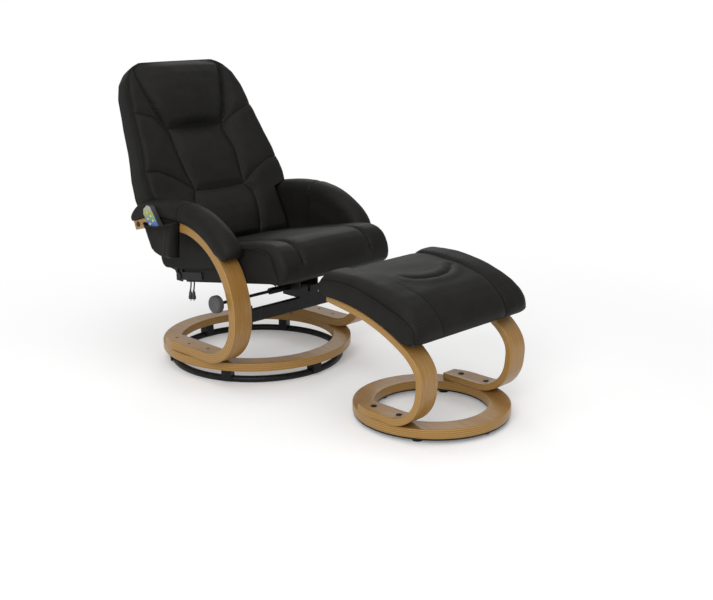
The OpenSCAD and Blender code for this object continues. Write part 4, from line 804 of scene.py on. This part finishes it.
# Boxing round the edge and the rear panel in one skin
def makeRear(x, u, front):
    rows, columns = x.shape
    half = backHalf(u)
    inside = half - np.abs(x)
    deep = curveAt(rearDepth, u, 7)
    upward = np.clip((u - backrest["low"]) / (backrest["top"] - backrest["low"]), 0, 1)
    puff = 2.2 * np.sin(np.clip(inside / half, 0, 1) * math.pi / 2) * np.sin(upward * math.pi)
    rearRim = np.maximum(deep - backrest["rearRound"], 30)
    rear = -(rearRim + (deep + puff - rearRim) * rounded(np.minimum(inside, 60) / backrest["rearRound"]))
    rearPoints = backPoint(x, rear, u).reshape(-1, 3)
    loop = [(r, columns - 1) for r in range(rows)] + [(rows - 1, c) for c in range(columns - 2, -1, -1)] + \
           [(r, 0) for r in range(rows - 2, -1, -1)] + [(0, c) for c in range(1, columns - 1)]
    steps = 7
    band, bandSeam = [], []
    for r, c in loop:
        first, last = front[r, c], rear[r, c]
        atSide = np.sign(x[r, c]) * (abs(x[r, c]) > abs(half[r, c]) - 1)
        atTop = u[r, c] > backrest["top"] - 1
        for t in np.arange(steps + 1) / steps:
            grow = 1.3 * math.sin(math.pi * t)
            out = first + (last - first) * t
            band.append(backPoint(x[r, c] + atSide * grow, out, u[r, c] + atTop * grow))
            bandSeam.append(ridge(abs(last - first) * min(t, 1 - t)))
    index = np.arange(len(band)).reshape(len(loop), steps + 1) + len(rearPoints)
    index = np.concatenate([index, index[:1]], 0)
    bandFaces = np.stack([index[:-1, :-1], index[:-1, 1:], index[1:, 1:], index[1:, :-1]], -1).reshape(-1, 4)
    points = np.concatenate([rearPoints, np.array(band)])
    faces = np.concatenate([gridFaces(rows, columns, flip=True), bandFaces])
    # The seam value also paints shade into the leather's colour along the rear panel's rim and the boxing's
    # edges
    seamValue = np.concatenate([ridge(inside).ravel() * 0.6, bandSeam])
    shell = makeObject("backrest_shell", points, faces, "leather", "back", {"seam": seamValue})
    joined(shell, 0.00002)
    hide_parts("back_shell")


# Thread beside every seam of the front
def makeBackThread(front):
    rails = []
    for line in backSeams:
        path = smoothPath(line, max(2, int(lengthsAlong(line)[-1] / 4)), 2)
        along = headings(path)
        path = path + np.stack([-along[:, 1], along[:, 0]], 1) * 4.2
        keep = (np.abs(path[:, 0]) < backHalf(path[:, 1]) - 4) & (path[:, 1] < 650) & (path[:, 1] > 4)
        path = path[keep]
        if len(path) < 3:
            continue
        x, out, _ = backSurface(path[:, 0] / backHalf(path[:, 1]), path[:, 1])
        rails.append(backPoint(x, out, path[:, 1]))
    makeStitches("backrest_stitches", front, rails, "back")


def makeBack():
    cell = backrest["cell"]
    rows, columns = int((backrest["top"] - backrest["low"]) / cell), int(backrest["wide"] / cell)
    u = np.repeat(np.linspace(backrest["low"], backrest["top"], rows)[:, None], columns, 1)
    bend = np.linspace(-1, 1, columns)
    s = np.repeat((np.sign(bend) * (1 - (1 - np.abs(bend)) ** 1.18))[None, :], rows, 0)
    x, out, gap = backSurface(s, u)
    # The seam value paints shade into the leather's colour along the seams and the rim
    seamValue = np.maximum(ridge(gap), ridge(backHalf(u) - np.abs(x) - 5, 3))
    points = backPoint(x, out, u).reshape(-1, 3)
    front = makeObject("backrest_front", points, gridFaces(rows, columns), "leather", "back",
                       {"seam": seamValue.ravel()})
    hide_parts("back_cushion", "head_cushion")
    makeRear(x, u, out)
    makeBackThread(front)


makeBack()
print("backrest ready")


# Cushions lofted over stations: the middle line, the side piping and the lower edge, each as (y, z)
seat = {"half": 238, "roll": 25, "puff": 4.6, "bulge": 0.7, "seam": 146, "seamDepth": 6.5, "crown": 7,
        "near": 1, "calm": 385}
stool = {"half": 247, "roll": 46, "puff": 4.6, "bulge": 1.2, "seamDepth": 4.0, "crown": 2.5, "near": 0.4,
         "calm": 0}
seatSin, seatCos = math.sin(math.radians(9.5)), math.cos(math.radians(9.5))


def seatPoint(points):
    x, y, z = points[..., 0], points[..., 1], points[..., 2]
    return np.stack([x, 73 + y * seatCos + z * seatSin, 288 - y * seatSin + z * seatCos], -1)


seatStations = [((-4, 60), (-6, 60), (-6, 2)), ((0, 80), (-2, 76), (-2, 1.5)),
                ((-3, 99), (-4, 92), (-3, 1.5)), ((-18, 107), (-18, 100), (-18, 1.5)),
                ((-80, 110), (-80, 103), (-80, 1.5)), ((-150, 113), (-150, 106), (-150, 1.5)),
                ((-230, 115.5), (-230, 108.5), (-230, 1.5)), ((-306, 117), (-306, 109), (-306, 1.5)),
                ((-360, 118), (-355, 109), (-355, 1.5)), ((-400, 118), (-386, 107), (-386, 1.5)),
                ((-428, 115), (-410, 100), (-408, 1.5)), ((-452, 105.5), (-431, 92), (-424, 1)),
                ((-471, 90), (-443, 84), (-432, .5)), ((-483, 70), (-446, 68), (-437, 0)),
                ((-488.5, 50), (-449, 50), (-441, -.5)), ((-487.5, 30), (-456, 32), (-444, -1)),
                ((-480, 12), (-463, 14), (-446, -1.5)), ((-468, 0), (-459, 3), (-447, -2)),
                ((-456, -6), (-452, -3), (-447, -2.5)), ((-447, -3), (-447, -2), (-447, -2.5))]
stoolStations = [((-566.5, 404), (-568, 401), (-568, 399)), ((-569, 416), (-571, 405), (-568, 391)),
                 ((-577, 430), (-579, 411), (-573, 380)), ((-600, 440), (-602, 416.5), (-592, 373)),
                 ((-642, 443), (-640, 420.5), (-640, 372)), ((-692, 442.5), (-690, 420), (-690, 369)),
                 ((-726, 440), (-724, 415.5), (-724, 362)), ((-750, 437), (-748, 409), (-748, 356)),
                 ((-784, 431), (-782, 400), (-782, 346)), ((-816, 423), (-814, 391), (-814, 335)),
                 ((-862, 409), (-858, 377), (-858, 317)), ((-896, 392), (-890, 366), (-885, 303)),
                 ((-924, 370), (-921, 350), (-902, 298)), ((-941, 349), (-932, 336), (-917, 299)),
                 ((-950, 325), (-935, 322), (-927, 303)), ((-948, 309), (-937, 311), (-934, 309)),
                 ((-939, 298), (-937, 306), (-936, 310))]


def loftCushion(name, node, stations, values, body, transform, seams, extra=None):
    cell = 2.8
    table = np.array(stations, float)
    gaps = lengthsAlong(table[:, 0])
    rows = int(gaps[-1] / cell)
    places = np.linspace(0, gaps[-1], rows)
    top, piping, low = (np.stack([curveAt(list(zip(gaps, table[:, k, j])), places, 5) for j in range(2)], 1)
                        for k in range(3))
    half, roll = values["half"], values["roll"]
    flat = half - roll
    across = np.linspace(0, flat, int(flat / cell))
    turn = np.linspace(0, math.pi / 2, int(roll * 1.6 / cell) + 3)[1:]
    panel = np.linspace(0, 1, int(60 / cell) + 2)[1:]
    rowsOut = []
    for r in range(rows):
        line = [(x, top[r, 0], top[r, 1], 0) for x in across]
        line += [(flat + roll * math.sin(a), *(piping[r] + (top[r] - piping[r]) * math.cos(a)), 0)
                 for a in turn]
        line += [(half + values["bulge"] * math.sin(math.pi * min(1, p * 1.15)),
                  *(piping[r] + (low[r] - piping[r]) * p), p) for p in panel]
        line = np.array(line, float)
        rowsOut.append(np.concatenate([line[1:][::-1] * np.array([-1, 1, 1, 1]), line]))
    grid = np.array(rowsOut)
    x = grid[..., 0]
    place = np.repeat(places[:, None], x.shape[1], 1)
    onTop = grid[..., 3] == 0
    gap = lineDistance(np.stack([x, place], -1).reshape(-1, 2), seams).reshape(x.shape)
    crown = values["crown"] * (1 - np.clip(np.abs(x) / half, 0, 1) ** 2)
    ends = np.clip(np.minimum(places, places[-1] - places) / 40, 0, 1)[:, None]
    ease = np.where(x < 0, values["near"], 1)
    ease = ease * (0.45 + 0.55 * np.clip((place - values["calm"]) / 30 + 1, 0, 1))
    puff = values["puff"] * (1 - ease * ridge(gap, 20))
    puff = puff - ease * (values["seamDepth"] * ridge(gap, 7.5) + 2.6 * ridge(gap, 2.8))
    pucker = 0.6 * ease * np.sin(place * 0.47 + 2.1 * np.sin(place * 0.06)) * ridge(gap - 7, 5)
    folds = 1.1 * np.sin(x * 0.029 + 1.1 * np.sin(place * 0.021)) * np.sin(place * 0.033 + 1.7)
    push = (crown * 0.55 + puff + pucker + folds) * np.clip((half - np.abs(x)) / 26, 0, 1) ** 0.7 * ends
    if extra:
        push = push + extra(x, place) * ends
    push = push - 1.5 * ridge(half - np.abs(x) - 5, 2.4) * ends
    push = np.where(onTop, push, 0)
    along = headings(top)
    grid[..., 1] += push * along[:, None, 1]
    grid[..., 2] -= push * along[:, None, 0]
    topGap = np.maximum(0, half - np.abs(x)) + 6 * (np.abs(x) < half - 8)
    edgeGap = np.where(onTop, topGap, grid[..., 3] * 60)
    # The seam value paints shade into the leather's colour along the seams and the piped edges
    seamValue = np.maximum(ridge(gap) * onTop, ridge(edgeGap, 2.6) * 0.9)
    shaped = transform(grid[..., :3])
    obj = makeSkin(name, shaped, "leather", body, {"seam": seamValue})
    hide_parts(node)
    middle, reach = (x.shape[1] - 1) // 2, len(across) - 1 + len(turn)
    return shaped[:, middle + reach], shaped[:, middle - reach]


seatSeams = [[(side * seat["seam"], 70), (side * seat["seam"], 560)] for side in (-1, 1)]
seatPipes = loftCushion("seat_pad", "seat_cushion", seatStations, seat, "seat", seatPoint, seatSeams)
stoolSeams = [[(side * 150, 20), (side * 149, 240), (side * 142, 420), (side * 132, 560)] for side in (-1, 1)]
smile = [(-100, 222), (-82, 240), (-48, 256), (0, 263), (48, 256), (82, 240), (102, 222)]


# Gathers beside the front corners, a sunk middle and the curved fold across it
def stoolExtra(x, place):
    gap = lineDistance(np.stack([x, place], -1).reshape(-1, 2), [smile]).reshape(x.shape)
    gather = 1.5 * np.sin(place * 0.68) * ridge(place - 415, 38) * ridge(np.abs(x) - 222, 16)
    sunk = 8 / (1 + np.exp((np.abs(x) - 147) / 6)) * np.clip((330 - place) / 150, 0, 1)
    fade = np.clip((112 - np.abs(x)) / 30, 0, 1)
    return gather - sunk - 5 * fade * ridge(gap, 6) + 2 * ridge(gap - 22, 14)


stoolPipes = loftCushion("stool_pad", "stool_cushion", stoolStations, stool, "footstool",
                         lambda points: points, stoolSeams, stoolExtra)
for name, pipes, body in (("seat", seatPipes, "seat"), ("stool", stoolPipes, "footstool")):
    for word, pipe in zip(("left", "right"), pipes):
        inset = pipe.copy()
        inset[:, 0] -= np.sign(inset[:, 0]) * 0.5
        makeTube(f"{name}_{word}_piping", inset[2:-2], 2.5, body, 8)


# The board under the footstool's cushion, in its dust cloth
board = {"wide": 416, "thick": 9, "front": 436, "rear": 10}


def makeBoard():
    line = bentLine(leg["start"], leg["path"])
    section = roundedBox(board["wide"], board["thick"], 3, 8, 3)
    out = leg["thick"] / 2 + board["thick"] / 2 + 0.4 + section[:, 1]
    rows = []
    for place in np.linspace(board["front"], line[0][-1] - board["rear"], 40):
        spots = beside(poseOn(line, np.array([place])), out)
        rows.append(np.stack([section[:, 0], spots[:, 0], spots[:, 1]], 1))
    obj = makeSkin("stool_cloth_board", np.array(rows), "webbing", "footstool")
    smoothed(obj, 34)
    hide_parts("stool_board")


makeBoard()
print("cushions ready")


# A pad's rings: place of its lower and upper side along the strip, share of the full height and width there
pad = {"mid": 282, "width": 82, "high": 72, "gap": 0.8, "seamPlace": 857, "seamDepth": 3.4,
       "rings": [(660, 633, .38, .84), (663, 634, .585, .92), (668, 640, .745, .97), (675, 652, .835, 1),
                 (686, 669, .90, 1), (702, 690, .92, 1), (724, 716, .895, 1), (752, 749, .89, 1),
                 (786, 786, .885, 1), (822, 822, .86, 1), (862, 862, .845, 1), (900, 900, .82, 1),
                 (940, 940, .775, 1), (983, 983, .74, 1), (1025, 1025, .74, 1), (1050, 1052, .735, 1),
                 (1066, 1070, .715, 1), (1080, 1086, .63, .99), (1092, 1099, .51, .97),
                 (1102, 1109, .38, .94), (1108, 1116, .27, .9), (1112, 1120, .16, .84)]}


# Shrinking copies of an end ring that close it with a shallow dome
def dome(ring, inside, high):
    centre = ring.mean(0)
    along = centre - inside.mean(0)
    along /= np.linalg.norm(along)
    angles = math.pi / 2 * np.arange(1, 7) / 7
    return np.array([centre + (ring - centre) * math.cos(a) + along * high * math.sin(a) for a in angles])


def makePad(side, word):
    line = bentLine(arm["start"], arm["path"])
    rings = np.array(pad["rings"], float)
    halfSection = [(0, 0), (.5, 0), (.8, 0), (.92, .005), (.968, .04), (.985, .12), (1, .28)]
    halfSection += [(math.cos(a), .4 + .6 * math.sin(a)) for a in np.linspace(0, math.pi / 2, 9)]
    right = smoothPath(halfSection, 34)
    right[:, 0] = curveAt(list(enumerate(right[:, 0])), np.arange(34), 0.6)
    right[0, 0] = right[-1, 0] = 0
    section = np.concatenate([right, right[1:-1][::-1] * np.array([-1, 1])])
    gaps = np.r_[0, np.cumsum(np.hypot(np.diff(rings[:, 1]), np.diff(rings[:, 2]) * pad["high"]))]
    places = np.linspace(0, gaps[-1], 150)
    table = np.stack([curveAt(list(zip(gaps, rings[:, k])), places, 3) for k in range(4)], 1)
    q = section[:, 1]
    rows, seamValue = [], []
    for foot, top, high, wide in table:
        s = foot + (top - foot) * eased(q * 1.4)
        cross = abs((foot + top) / 2 - pad["seamPlace"])
        groove = pad["seamDepth"] * ridge(cross, 5)
        h = high * pad["high"] - groove + ridge(cross - 20, 12)
        hem = 1.6 * ridge(q - 0.13, 0.035)
        fold = 0.9 * np.sin(s * 0.11 + q * 5 + side) * np.sin(q * math.pi)
        b = beside(poseOn(line, s), arm["thick"] / 2 + pad["gap"] + q * h)
        half = wide * pad["width"] / 2 - hem - groove * 0.5 * (q > 0.1) + fold * 0.4
        x = pad["mid"] + section[:, 0] * half
        rows.append(np.stack([side * x, b[:, 0], b[:, 1]], 1))
        # The seam value paints shade into the leather's colour along the side seams and the cross seam
        sideSeam = ridge(q - 0.13, 0.02) * (np.abs(section[:, 0]) > 0.9)
        seamValue.append(np.maximum(sideSeam, ridge(cross) * (q > 0.05)))
    grid = np.array(rows)
    start, end = dome(grid[0], grid[3], 3.0)[::-1], dome(grid[-1], grid[-4], 2.2)
    bare = np.zeros((len(start), len(section)))
    grid = np.concatenate([start, grid, end])
    obj = makeSkin(word + "_armrest_pad", grid, "leather", "turntable",
                   {"seam": np.concatenate([bare, np.array(seamValue), bare])})
    finer(obj)
    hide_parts(word + "_arm_pad")


for side, word in sides:
    makePad(side, word)


# The pads' leather goes on down the inner side of each loop; low is its lower edge as (y, z)
lining = {"step": 5.9, "inner": 241, "skin": 243.6, "outer": 255.8, "lap": 0.44, "seamPlace": 862,
          "low": [(-203, 382), (74, 335), (160, 325), (176, 334), (184, 362), (192, 397), (199, 430),
                  (197, 455)],
          "places": [616, 936, 1018, 1030, 1040, 1048, 1055, 1061]}


def makeLining(side, word):
    line = bentLine(arm["start"], arm["path"])
    low = np.array(lining["low"], float)
    gaps = lengthsAlong(low)
    columns = 110
    run = np.linspace(0, gaps[-1], columns)
    bottom = np.stack([curveAt(list(zip(gaps, low[:, k])), run, 5) for k in range(2)], 1)
    place = np.interp(run, gaps, lining["places"])
    pose = poseOn(line, place)
    under = beside(pose, -arm["thick"] / 2 - 0.6)
    lap = np.clip((place - 618) / 34, 0, 1)
    rings = np.array(pad["rings"], float)
    reach = np.interp(place, rings[:, 1], rings[:, 2]) * pad["high"] * lining["lap"]
    top = beside(pose, -arm["thick"] / 2 - 0.6 + lap * (arm["thick"] + 1.4 + reach))
    fall = np.linalg.norm(bottom - under, axis=1)
    inner, skin, outer = lining["inner"], lining["skin"], lining["outer"]
    # The loop's points: how far out, the zone (0 over the strip, 1 below it, 2 the hem), the place in it
    loop = [(inner, 0, t) for t in (0, .06, .14, .26, .45, .7, 1)]
    loop += [(inner, 1, t) for t in np.linspace(.06, .94, 12)]
    loop += [(.03, 2, 4), (.2, 2, 1.3), (.5, 2, 0), (.8, 2, 1.3), (.97, 2, 4)]
    loop += [(outer, 1, t) for t in np.linspace(.94, .06, 10)]
    loop += [(outer - 1, 1, 0), (skin, 1, 0), (skin, 0, .5)]
    seamGap = place - lining["seamPlace"]
    rows, seamValue = [], []

    def drawnOut(below):
        return lining["step"] * eased(below / 60)

    for x, zone, t in loop:
        if zone == 0:
            spot = top + (under - top) * t
        elif zone == 1:
            spot = under + (bottom - under) * t
        else:
            spot = bottom + (under - bottom) * (np.minimum(t, fall * .4) / np.maximum(fall, 1))[:, None]
        deep = x + 0 * place
        if zone == 2:
            deep = inner + drawnOut(fall) + (outer - inner - drawnOut(fall)) * x
        if zone == 1 and x == inner:
            deep = deep + drawnOut(fall * t)
        if x == inner:
            y, z = spot[:, 0], spot[:, 1]
            wave = .5 * np.sin(y * .045 + z * .02) + .35 * np.sin(z * .06 - y * .02)
            deep = deep - .25 + 1.6 * max(0, 1 - t / .14) * (zone == 0) + wave * .5 * (zone == 1) \
                + 1.3 * ridge(seamGap, 3.5)
        rows.append(np.stack([side * deep, spot[:, 0], spot[:, 1]], 1))
        # The seam value paints shade into the leather's colour at the seam and, at half strength, over the
        # hem underneath
        seamValue.append(ridge(seamGap, 1.5) * (x == inner) + .5 * (zone == 2))
    makeSkin(word + "_armrest_lining", np.array(rows).transpose(1, 0, 2), "leather", "turntable",
             {"seam": np.array(seamValue).T})


for side, word in sides:
    makeLining(side, word)
print("arm pads ready")


# The leather boxing under the seat's cushion; heights gives how far it draws in at each z
boxing = {"wide": 469, "deep": 444, "corner": 7, "half": (235, 223), "inner": (231.9, 219.9), "high": 46,
          "heights": [(-0.2, 2.2), (0.5, 0.9), (1.6, 0.1), (4, 0), *((z, 0) for z in np.linspace(8, 40, 9)),
                      (43, 0.1), (45, 0.8), (45.9, 2.2)]}


def makeCover():
    shape = roundedBox(boxing["wide"], boxing["deep"], boxing["corner"], 24, 6)
    half, deep = boxing["half"]
    rows = []
    for z, inset in boxing["heights"]:
        bulge = 0.8 * math.sin(math.pi * np.clip(z / boxing["high"], 0, 1))
        wave = 0.5 * np.sin(shape[:, 0] * 0.05 + z * 0.09) + 0.4 * np.sin(shape[:, 1] * 0.06 - z * 0.07)
        x = shape[:, 0] * (half - inset) / half * (1 + (bulge * 0.5 + wave * 0.3 - 0.6) / half)
        y = shape[:, 1] * (deep - inset) / deep * (1 + (wave * 0.3 - 0.2) / deep)
        rows.append(np.stack([x, y - deep, np.full(len(shape), z)], 1))
    within = shape * (np.array(boxing["inner"]) / boxing["half"])
    rows += [np.stack([within[:, 0], within[:, 1] - deep, np.full(len(shape), z)], 1)
             for z in (boxing["high"] - 0.1, 20, -0.2)]
    grid = seatPoint(np.array(rows + rows[:1]))
    faces = gridFaces(len(grid), len(shape), wrap=True)
    obj = makeObject("seat_boxing", grid.reshape(-1, 3), faces, "leather", "seat",
                     {"seam": np.zeros(len(grid) * len(shape))})
    joined(obj, 0.00001)
    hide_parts("seat_cover")


makeCover()


# The pocket on the right arm: upper and lower edge as (y, z), its two faces at x = -front and -rear
pocket = {"front": 314.5, "rear": 349.6, "wall": 1.5, "backing": 1.2, "rows": 40, "columns": 64,
          "mouth": [(-12, 511), (2, 507), (30, 500), (70, 489), (110, 484.5), (128, 485), (150, 492)],
          "bottom": [(-12, 405), (-8, 400), (2, 395), (30, 391.5), (60, 391.5), (85, 398), (104, 410),
                     (118, 424), (128, 438)]}


def pocketEdges(v):
    return -11.8 + 11 * v, 149 - 44 * v ** 1.2


# Gathers where the elastic hem draws the leather in
def gathered(y):
    return np.sin(y * 0.72 + 0.8 * np.sin(y * 0.13))


def makePocket():
    front, rear, columns = pocket["front"], pocket["rear"], pocket["columns"]
    rows, seamValue = [], []
    for v in np.linspace(0, 1, pocket["rows"]):
        left, right = pocketEdges(v)
        y = left + (right - left) * np.linspace(0, 1, columns)
        topZ, lowZ = curveAt(pocket["mouth"], y, 4), curveAt(pocket["bottom"], y, 3)
        edge = np.minimum(np.minimum((y - left) / 10, (right - y) / 12), (1 - v) * (topZ - lowZ) / 10)
        gather = 1.3 * gathered(y) * math.exp(-v * 3.2)
        sag = 2.2 * np.sin(y * 0.06 + 1) * math.sin(math.pi * v) + 1.5 * ridge(y - 20 - 18 * v, 5)
        out = rear - front - 3.2 + np.clip(1.6 + gather * 1.7 * (1 - v) + 0.6 * sag, 0, 4.2)
        rows.append(np.stack([-(front + out * rounded(edge)), y, topZ + (lowZ - topZ) * v], 1))
        # The seam value paints shade into the leather's colour along the line below the pocket's mouth
        seamValue.append(np.full(columns, 0.7 if abs(v * 90 - 7) < 1.2 else 0))
    obj = makeObject("arm_pocket", np.array(rows).reshape(-1, 3), gridFaces(len(rows), columns), "leather",
                     "turntable", {"seam": np.array(seamValue).ravel()})
    thickened(obj, pocket["wall"])
    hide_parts("pocket")
    backing = []
    strip = poseOn(bentLine(arm["start"], arm["path"]), np.arange(760, 1080, 5.0))
    armTop = beside(strip, arm["thick"] / 2 + 3)
    for v in np.linspace(0, 1, 12):
        y = np.linspace(*pocketEdges(v), 30)
        topZ, lowZ = np.interp(y, armTop[:, 0], armTop[:, 1]), curveAt(pocket["bottom"], y, 3)
        backing.append(np.stack([np.full(30, -front), y, topZ + (lowZ - topZ) * v], 1))
    sheet = makeObject("arm_pocket_backing", np.array(backing).reshape(-1, 3), gridFaces(12, 30), "leather",
                       "turntable")
    thickened(sheet, pocket["backing"])
    y = np.linspace(-11, 148, 90)
    nearest = np.clip(((y + 11.8) / 160.8 * (columns - 1)).astype(int), 0, columns - 1)
    hem = np.stack([rows[0][nearest, 0] + 0.22 * gathered(y), y, curveAt(pocket["mouth"], y, 4)], 1)
    makeTube("arm_pocket_hem", smoothPath(hem, 120, 4), 2.0, "turntable", 10)


makePocket()


# The fluted locking knob, turned round a line along x; its profile is (radius, x)
knob = {"middle": (-205.22, 287), "turns": 168, "flutes": 28, "fluteDepth": 0.9, "flutedFrom": 25,
        "profile": [(6, -317), (10, -317), (10, -320.6), (24, -321.2), (26.6, -322.4), (27.8, -324.5),
                    (28, -327), (28, -337), (27.6, -340), (26.4, -342), (24.5, -343), (20, -343),
                    (19.2, -342.3), (12, -341.8), (4, -341.6)]}


def makeKnob():
    angle = np.linspace(0, 2 * math.pi, knob["turns"], endpoint=False)
    flute = knob["fluteDepth"] * (0.5 - 0.5 * np.cos(angle * knob["flutes"])) ** 0.8
    y, z = knob["middle"]
    rows = []
    for radius, x in knob["profile"]:
        r = radius - flute * (radius > knob["flutedFrom"])
        rows.append(np.stack([np.full(len(angle), x), y + r * np.cos(angle), z + r * np.sin(angle)], 1))
    obj = makeSkin("clamp_knob", np.array(rows), "knob", "lock")
    smoothed(obj, 34)
    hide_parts("lock_knob")


makeKnob()
print("small pieces ready")

# Looks of the solids that are shown as they are
given = {
    "black_steel": ["floor_ring", "ring_saddles", "arm_pad_screws", "crossbar", "crossbar_screws",
                    "glide_bracket", "glide_rails", "clamp_jaws", "pivot_bushes", "lock_rod", "lock_plate",
                    "seat_runners", "link_plates", "hinge_plates", "back_frame", "stool_facing",
                    "stool_glides", "stool_bolts", "stool_nuts"],
    "bright_steel": ["saddle_screws", "foot_nuts"],
    "dark_steel": ["foot_bolts", "pivot_bolts"],
    "handset_plastic": ["handset"],
    "button_plastic": ["power_button", "heat_button", "back_button", "seat_button", "level_button"],
    "webbing": ["seat_webbing", "back_webbing"],
    "board": ["seat_frame"],
    "grey_plastic": ["control_box", "seat_motors", "seat_rotors", "back_motors", "lumbar_rotors",
                     "shoulder_rotors"],
    "heat_cloth": ["heat_pad"],
}
for material, names in given.items():
    for name in names:
        if name in nodes:
            looks = nodes[name].data.materials
            looks.clear()
            looks.append(finish[material])


# A white floor that fades into plain white, and soft light; here places and sizes are in metres
light = {"sky": 0.52, "floor": 0.84, "lift": 0.185, "fade": (0.95, 2.1), "middle": (0, -0.4, 0)}
lamps = {"overhead": {"place": (-0.6, -0.5, 4.2), "aim": (0, -0.3, 0.3), "size": (3.6, 3.2), "level": 0.34},
         "front": {"place": (-3.4, -2.6, 2.6), "aim": (0, -0.2, 0.5), "size": (2.4, 1.8), "level": 0.45},
         "rear": {"place": (2.6, 2.4, 2.8), "aim": (0, 0, 0.6), "size": (2.0, 1.6), "level": 0.16}}


def seenDirectly(start, *kinds):
    rays = start.node("ShaderNodeLightPath")
    shares = [Wire(start.tree, rays.socket.node.outputs[kind]) for kind in kinds]
    shares.append(Wire(start.tree, rays.socket.node.outputs["Is Transmission Ray"]))
    return sum(shares[1:], shares[0]).clamp()


def makeFloor():
    mesh = bpy.data.meshes.new("floor")
    mesh.from_pydata([(-60, -60, 0), (60, -60, 0), (60, 60, 0), (-60, 60, 0)], [], [(0, 1, 2, 3)])
    obj = bpy.data.objects.new("floor", mesh)
    bpy.context.scene.collection.objects.link(obj)
    material, start, out = newMaterial("floor")
    diffuse = start.node("ShaderNodeBsdfDiffuse", None, {"Color": (light["floor"],) * 3})
    glow = start.node("ShaderNodeEmission", None, {"Color": (1, 1, 1), "Strength": light["lift"]})
    near = start.node("ShaderNodeAddShader", None, {0: diffuse, 1: glow})
    white = start.node("ShaderNodeEmission", None, {"Color": (1, 1, 1), "Strength": 1.0})
    away = start.node("ShaderNodeVectorMath", {"operation": "LENGTH"}, {0: objectPlace(start)}, 1)
    shown = start.node("ShaderNodeMixShader", None, {0: away.span(*light["fade"]), 1: near, 2: white})
    seen = seenDirectly(start, "Is Camera Ray", "Is Glossy Ray")
    start.put(out.inputs["Surface"], start.node("ShaderNodeMixShader", None, {0: seen, 1: diffuse, 2: shown}))
    mesh.materials.append(material)
    obj.location = light["middle"]


def makeSky():
    world = bpy.data.worlds.new("sky")
    bpy.context.scene.world = world
    world.use_nodes = True
    tree = world.node_tree
    tree.nodes.clear()
    out = tree.nodes.new("ShaderNodeOutputWorld")
    start = Wire(tree, None)
    glow = start.node("ShaderNodeBackground", None, {"Color": (1, 1, 1), "Strength": 1.0})
    soft = start.node("ShaderNodeBackground", None, {"Color": (1, 1, 1), "Strength": light["sky"]})
    seen = seenDirectly(start, "Is Camera Ray")
    start.put(out.inputs["Surface"], start.node("ShaderNodeMixShader", None, {0: seen, 1: soft, 2: glow}))


def makeLamp(name, place, aim, size, level):
    data = bpy.data.lights.new(name, "AREA")
    data.shape, data.size, data.size_y = "RECTANGLE", size[0], size[1]
    gap = (Vector(aim) - Vector(place)).length
    data.energy = level * (math.pi * gap) ** 2
    obj = bpy.data.objects.new(name, data)
    obj.location = place
    obj.rotation_euler = (Vector(aim) - Vector(place)).to_track_quat("-Z", "Y").to_euler()
    bpy.context.scene.collection.objects.link(obj)


makeFloor()
makeSky()
for name, lamp in lamps.items():
    makeLamp(name, **lamp)
bpy.context.scene.view_settings.view_transform = "Standard"
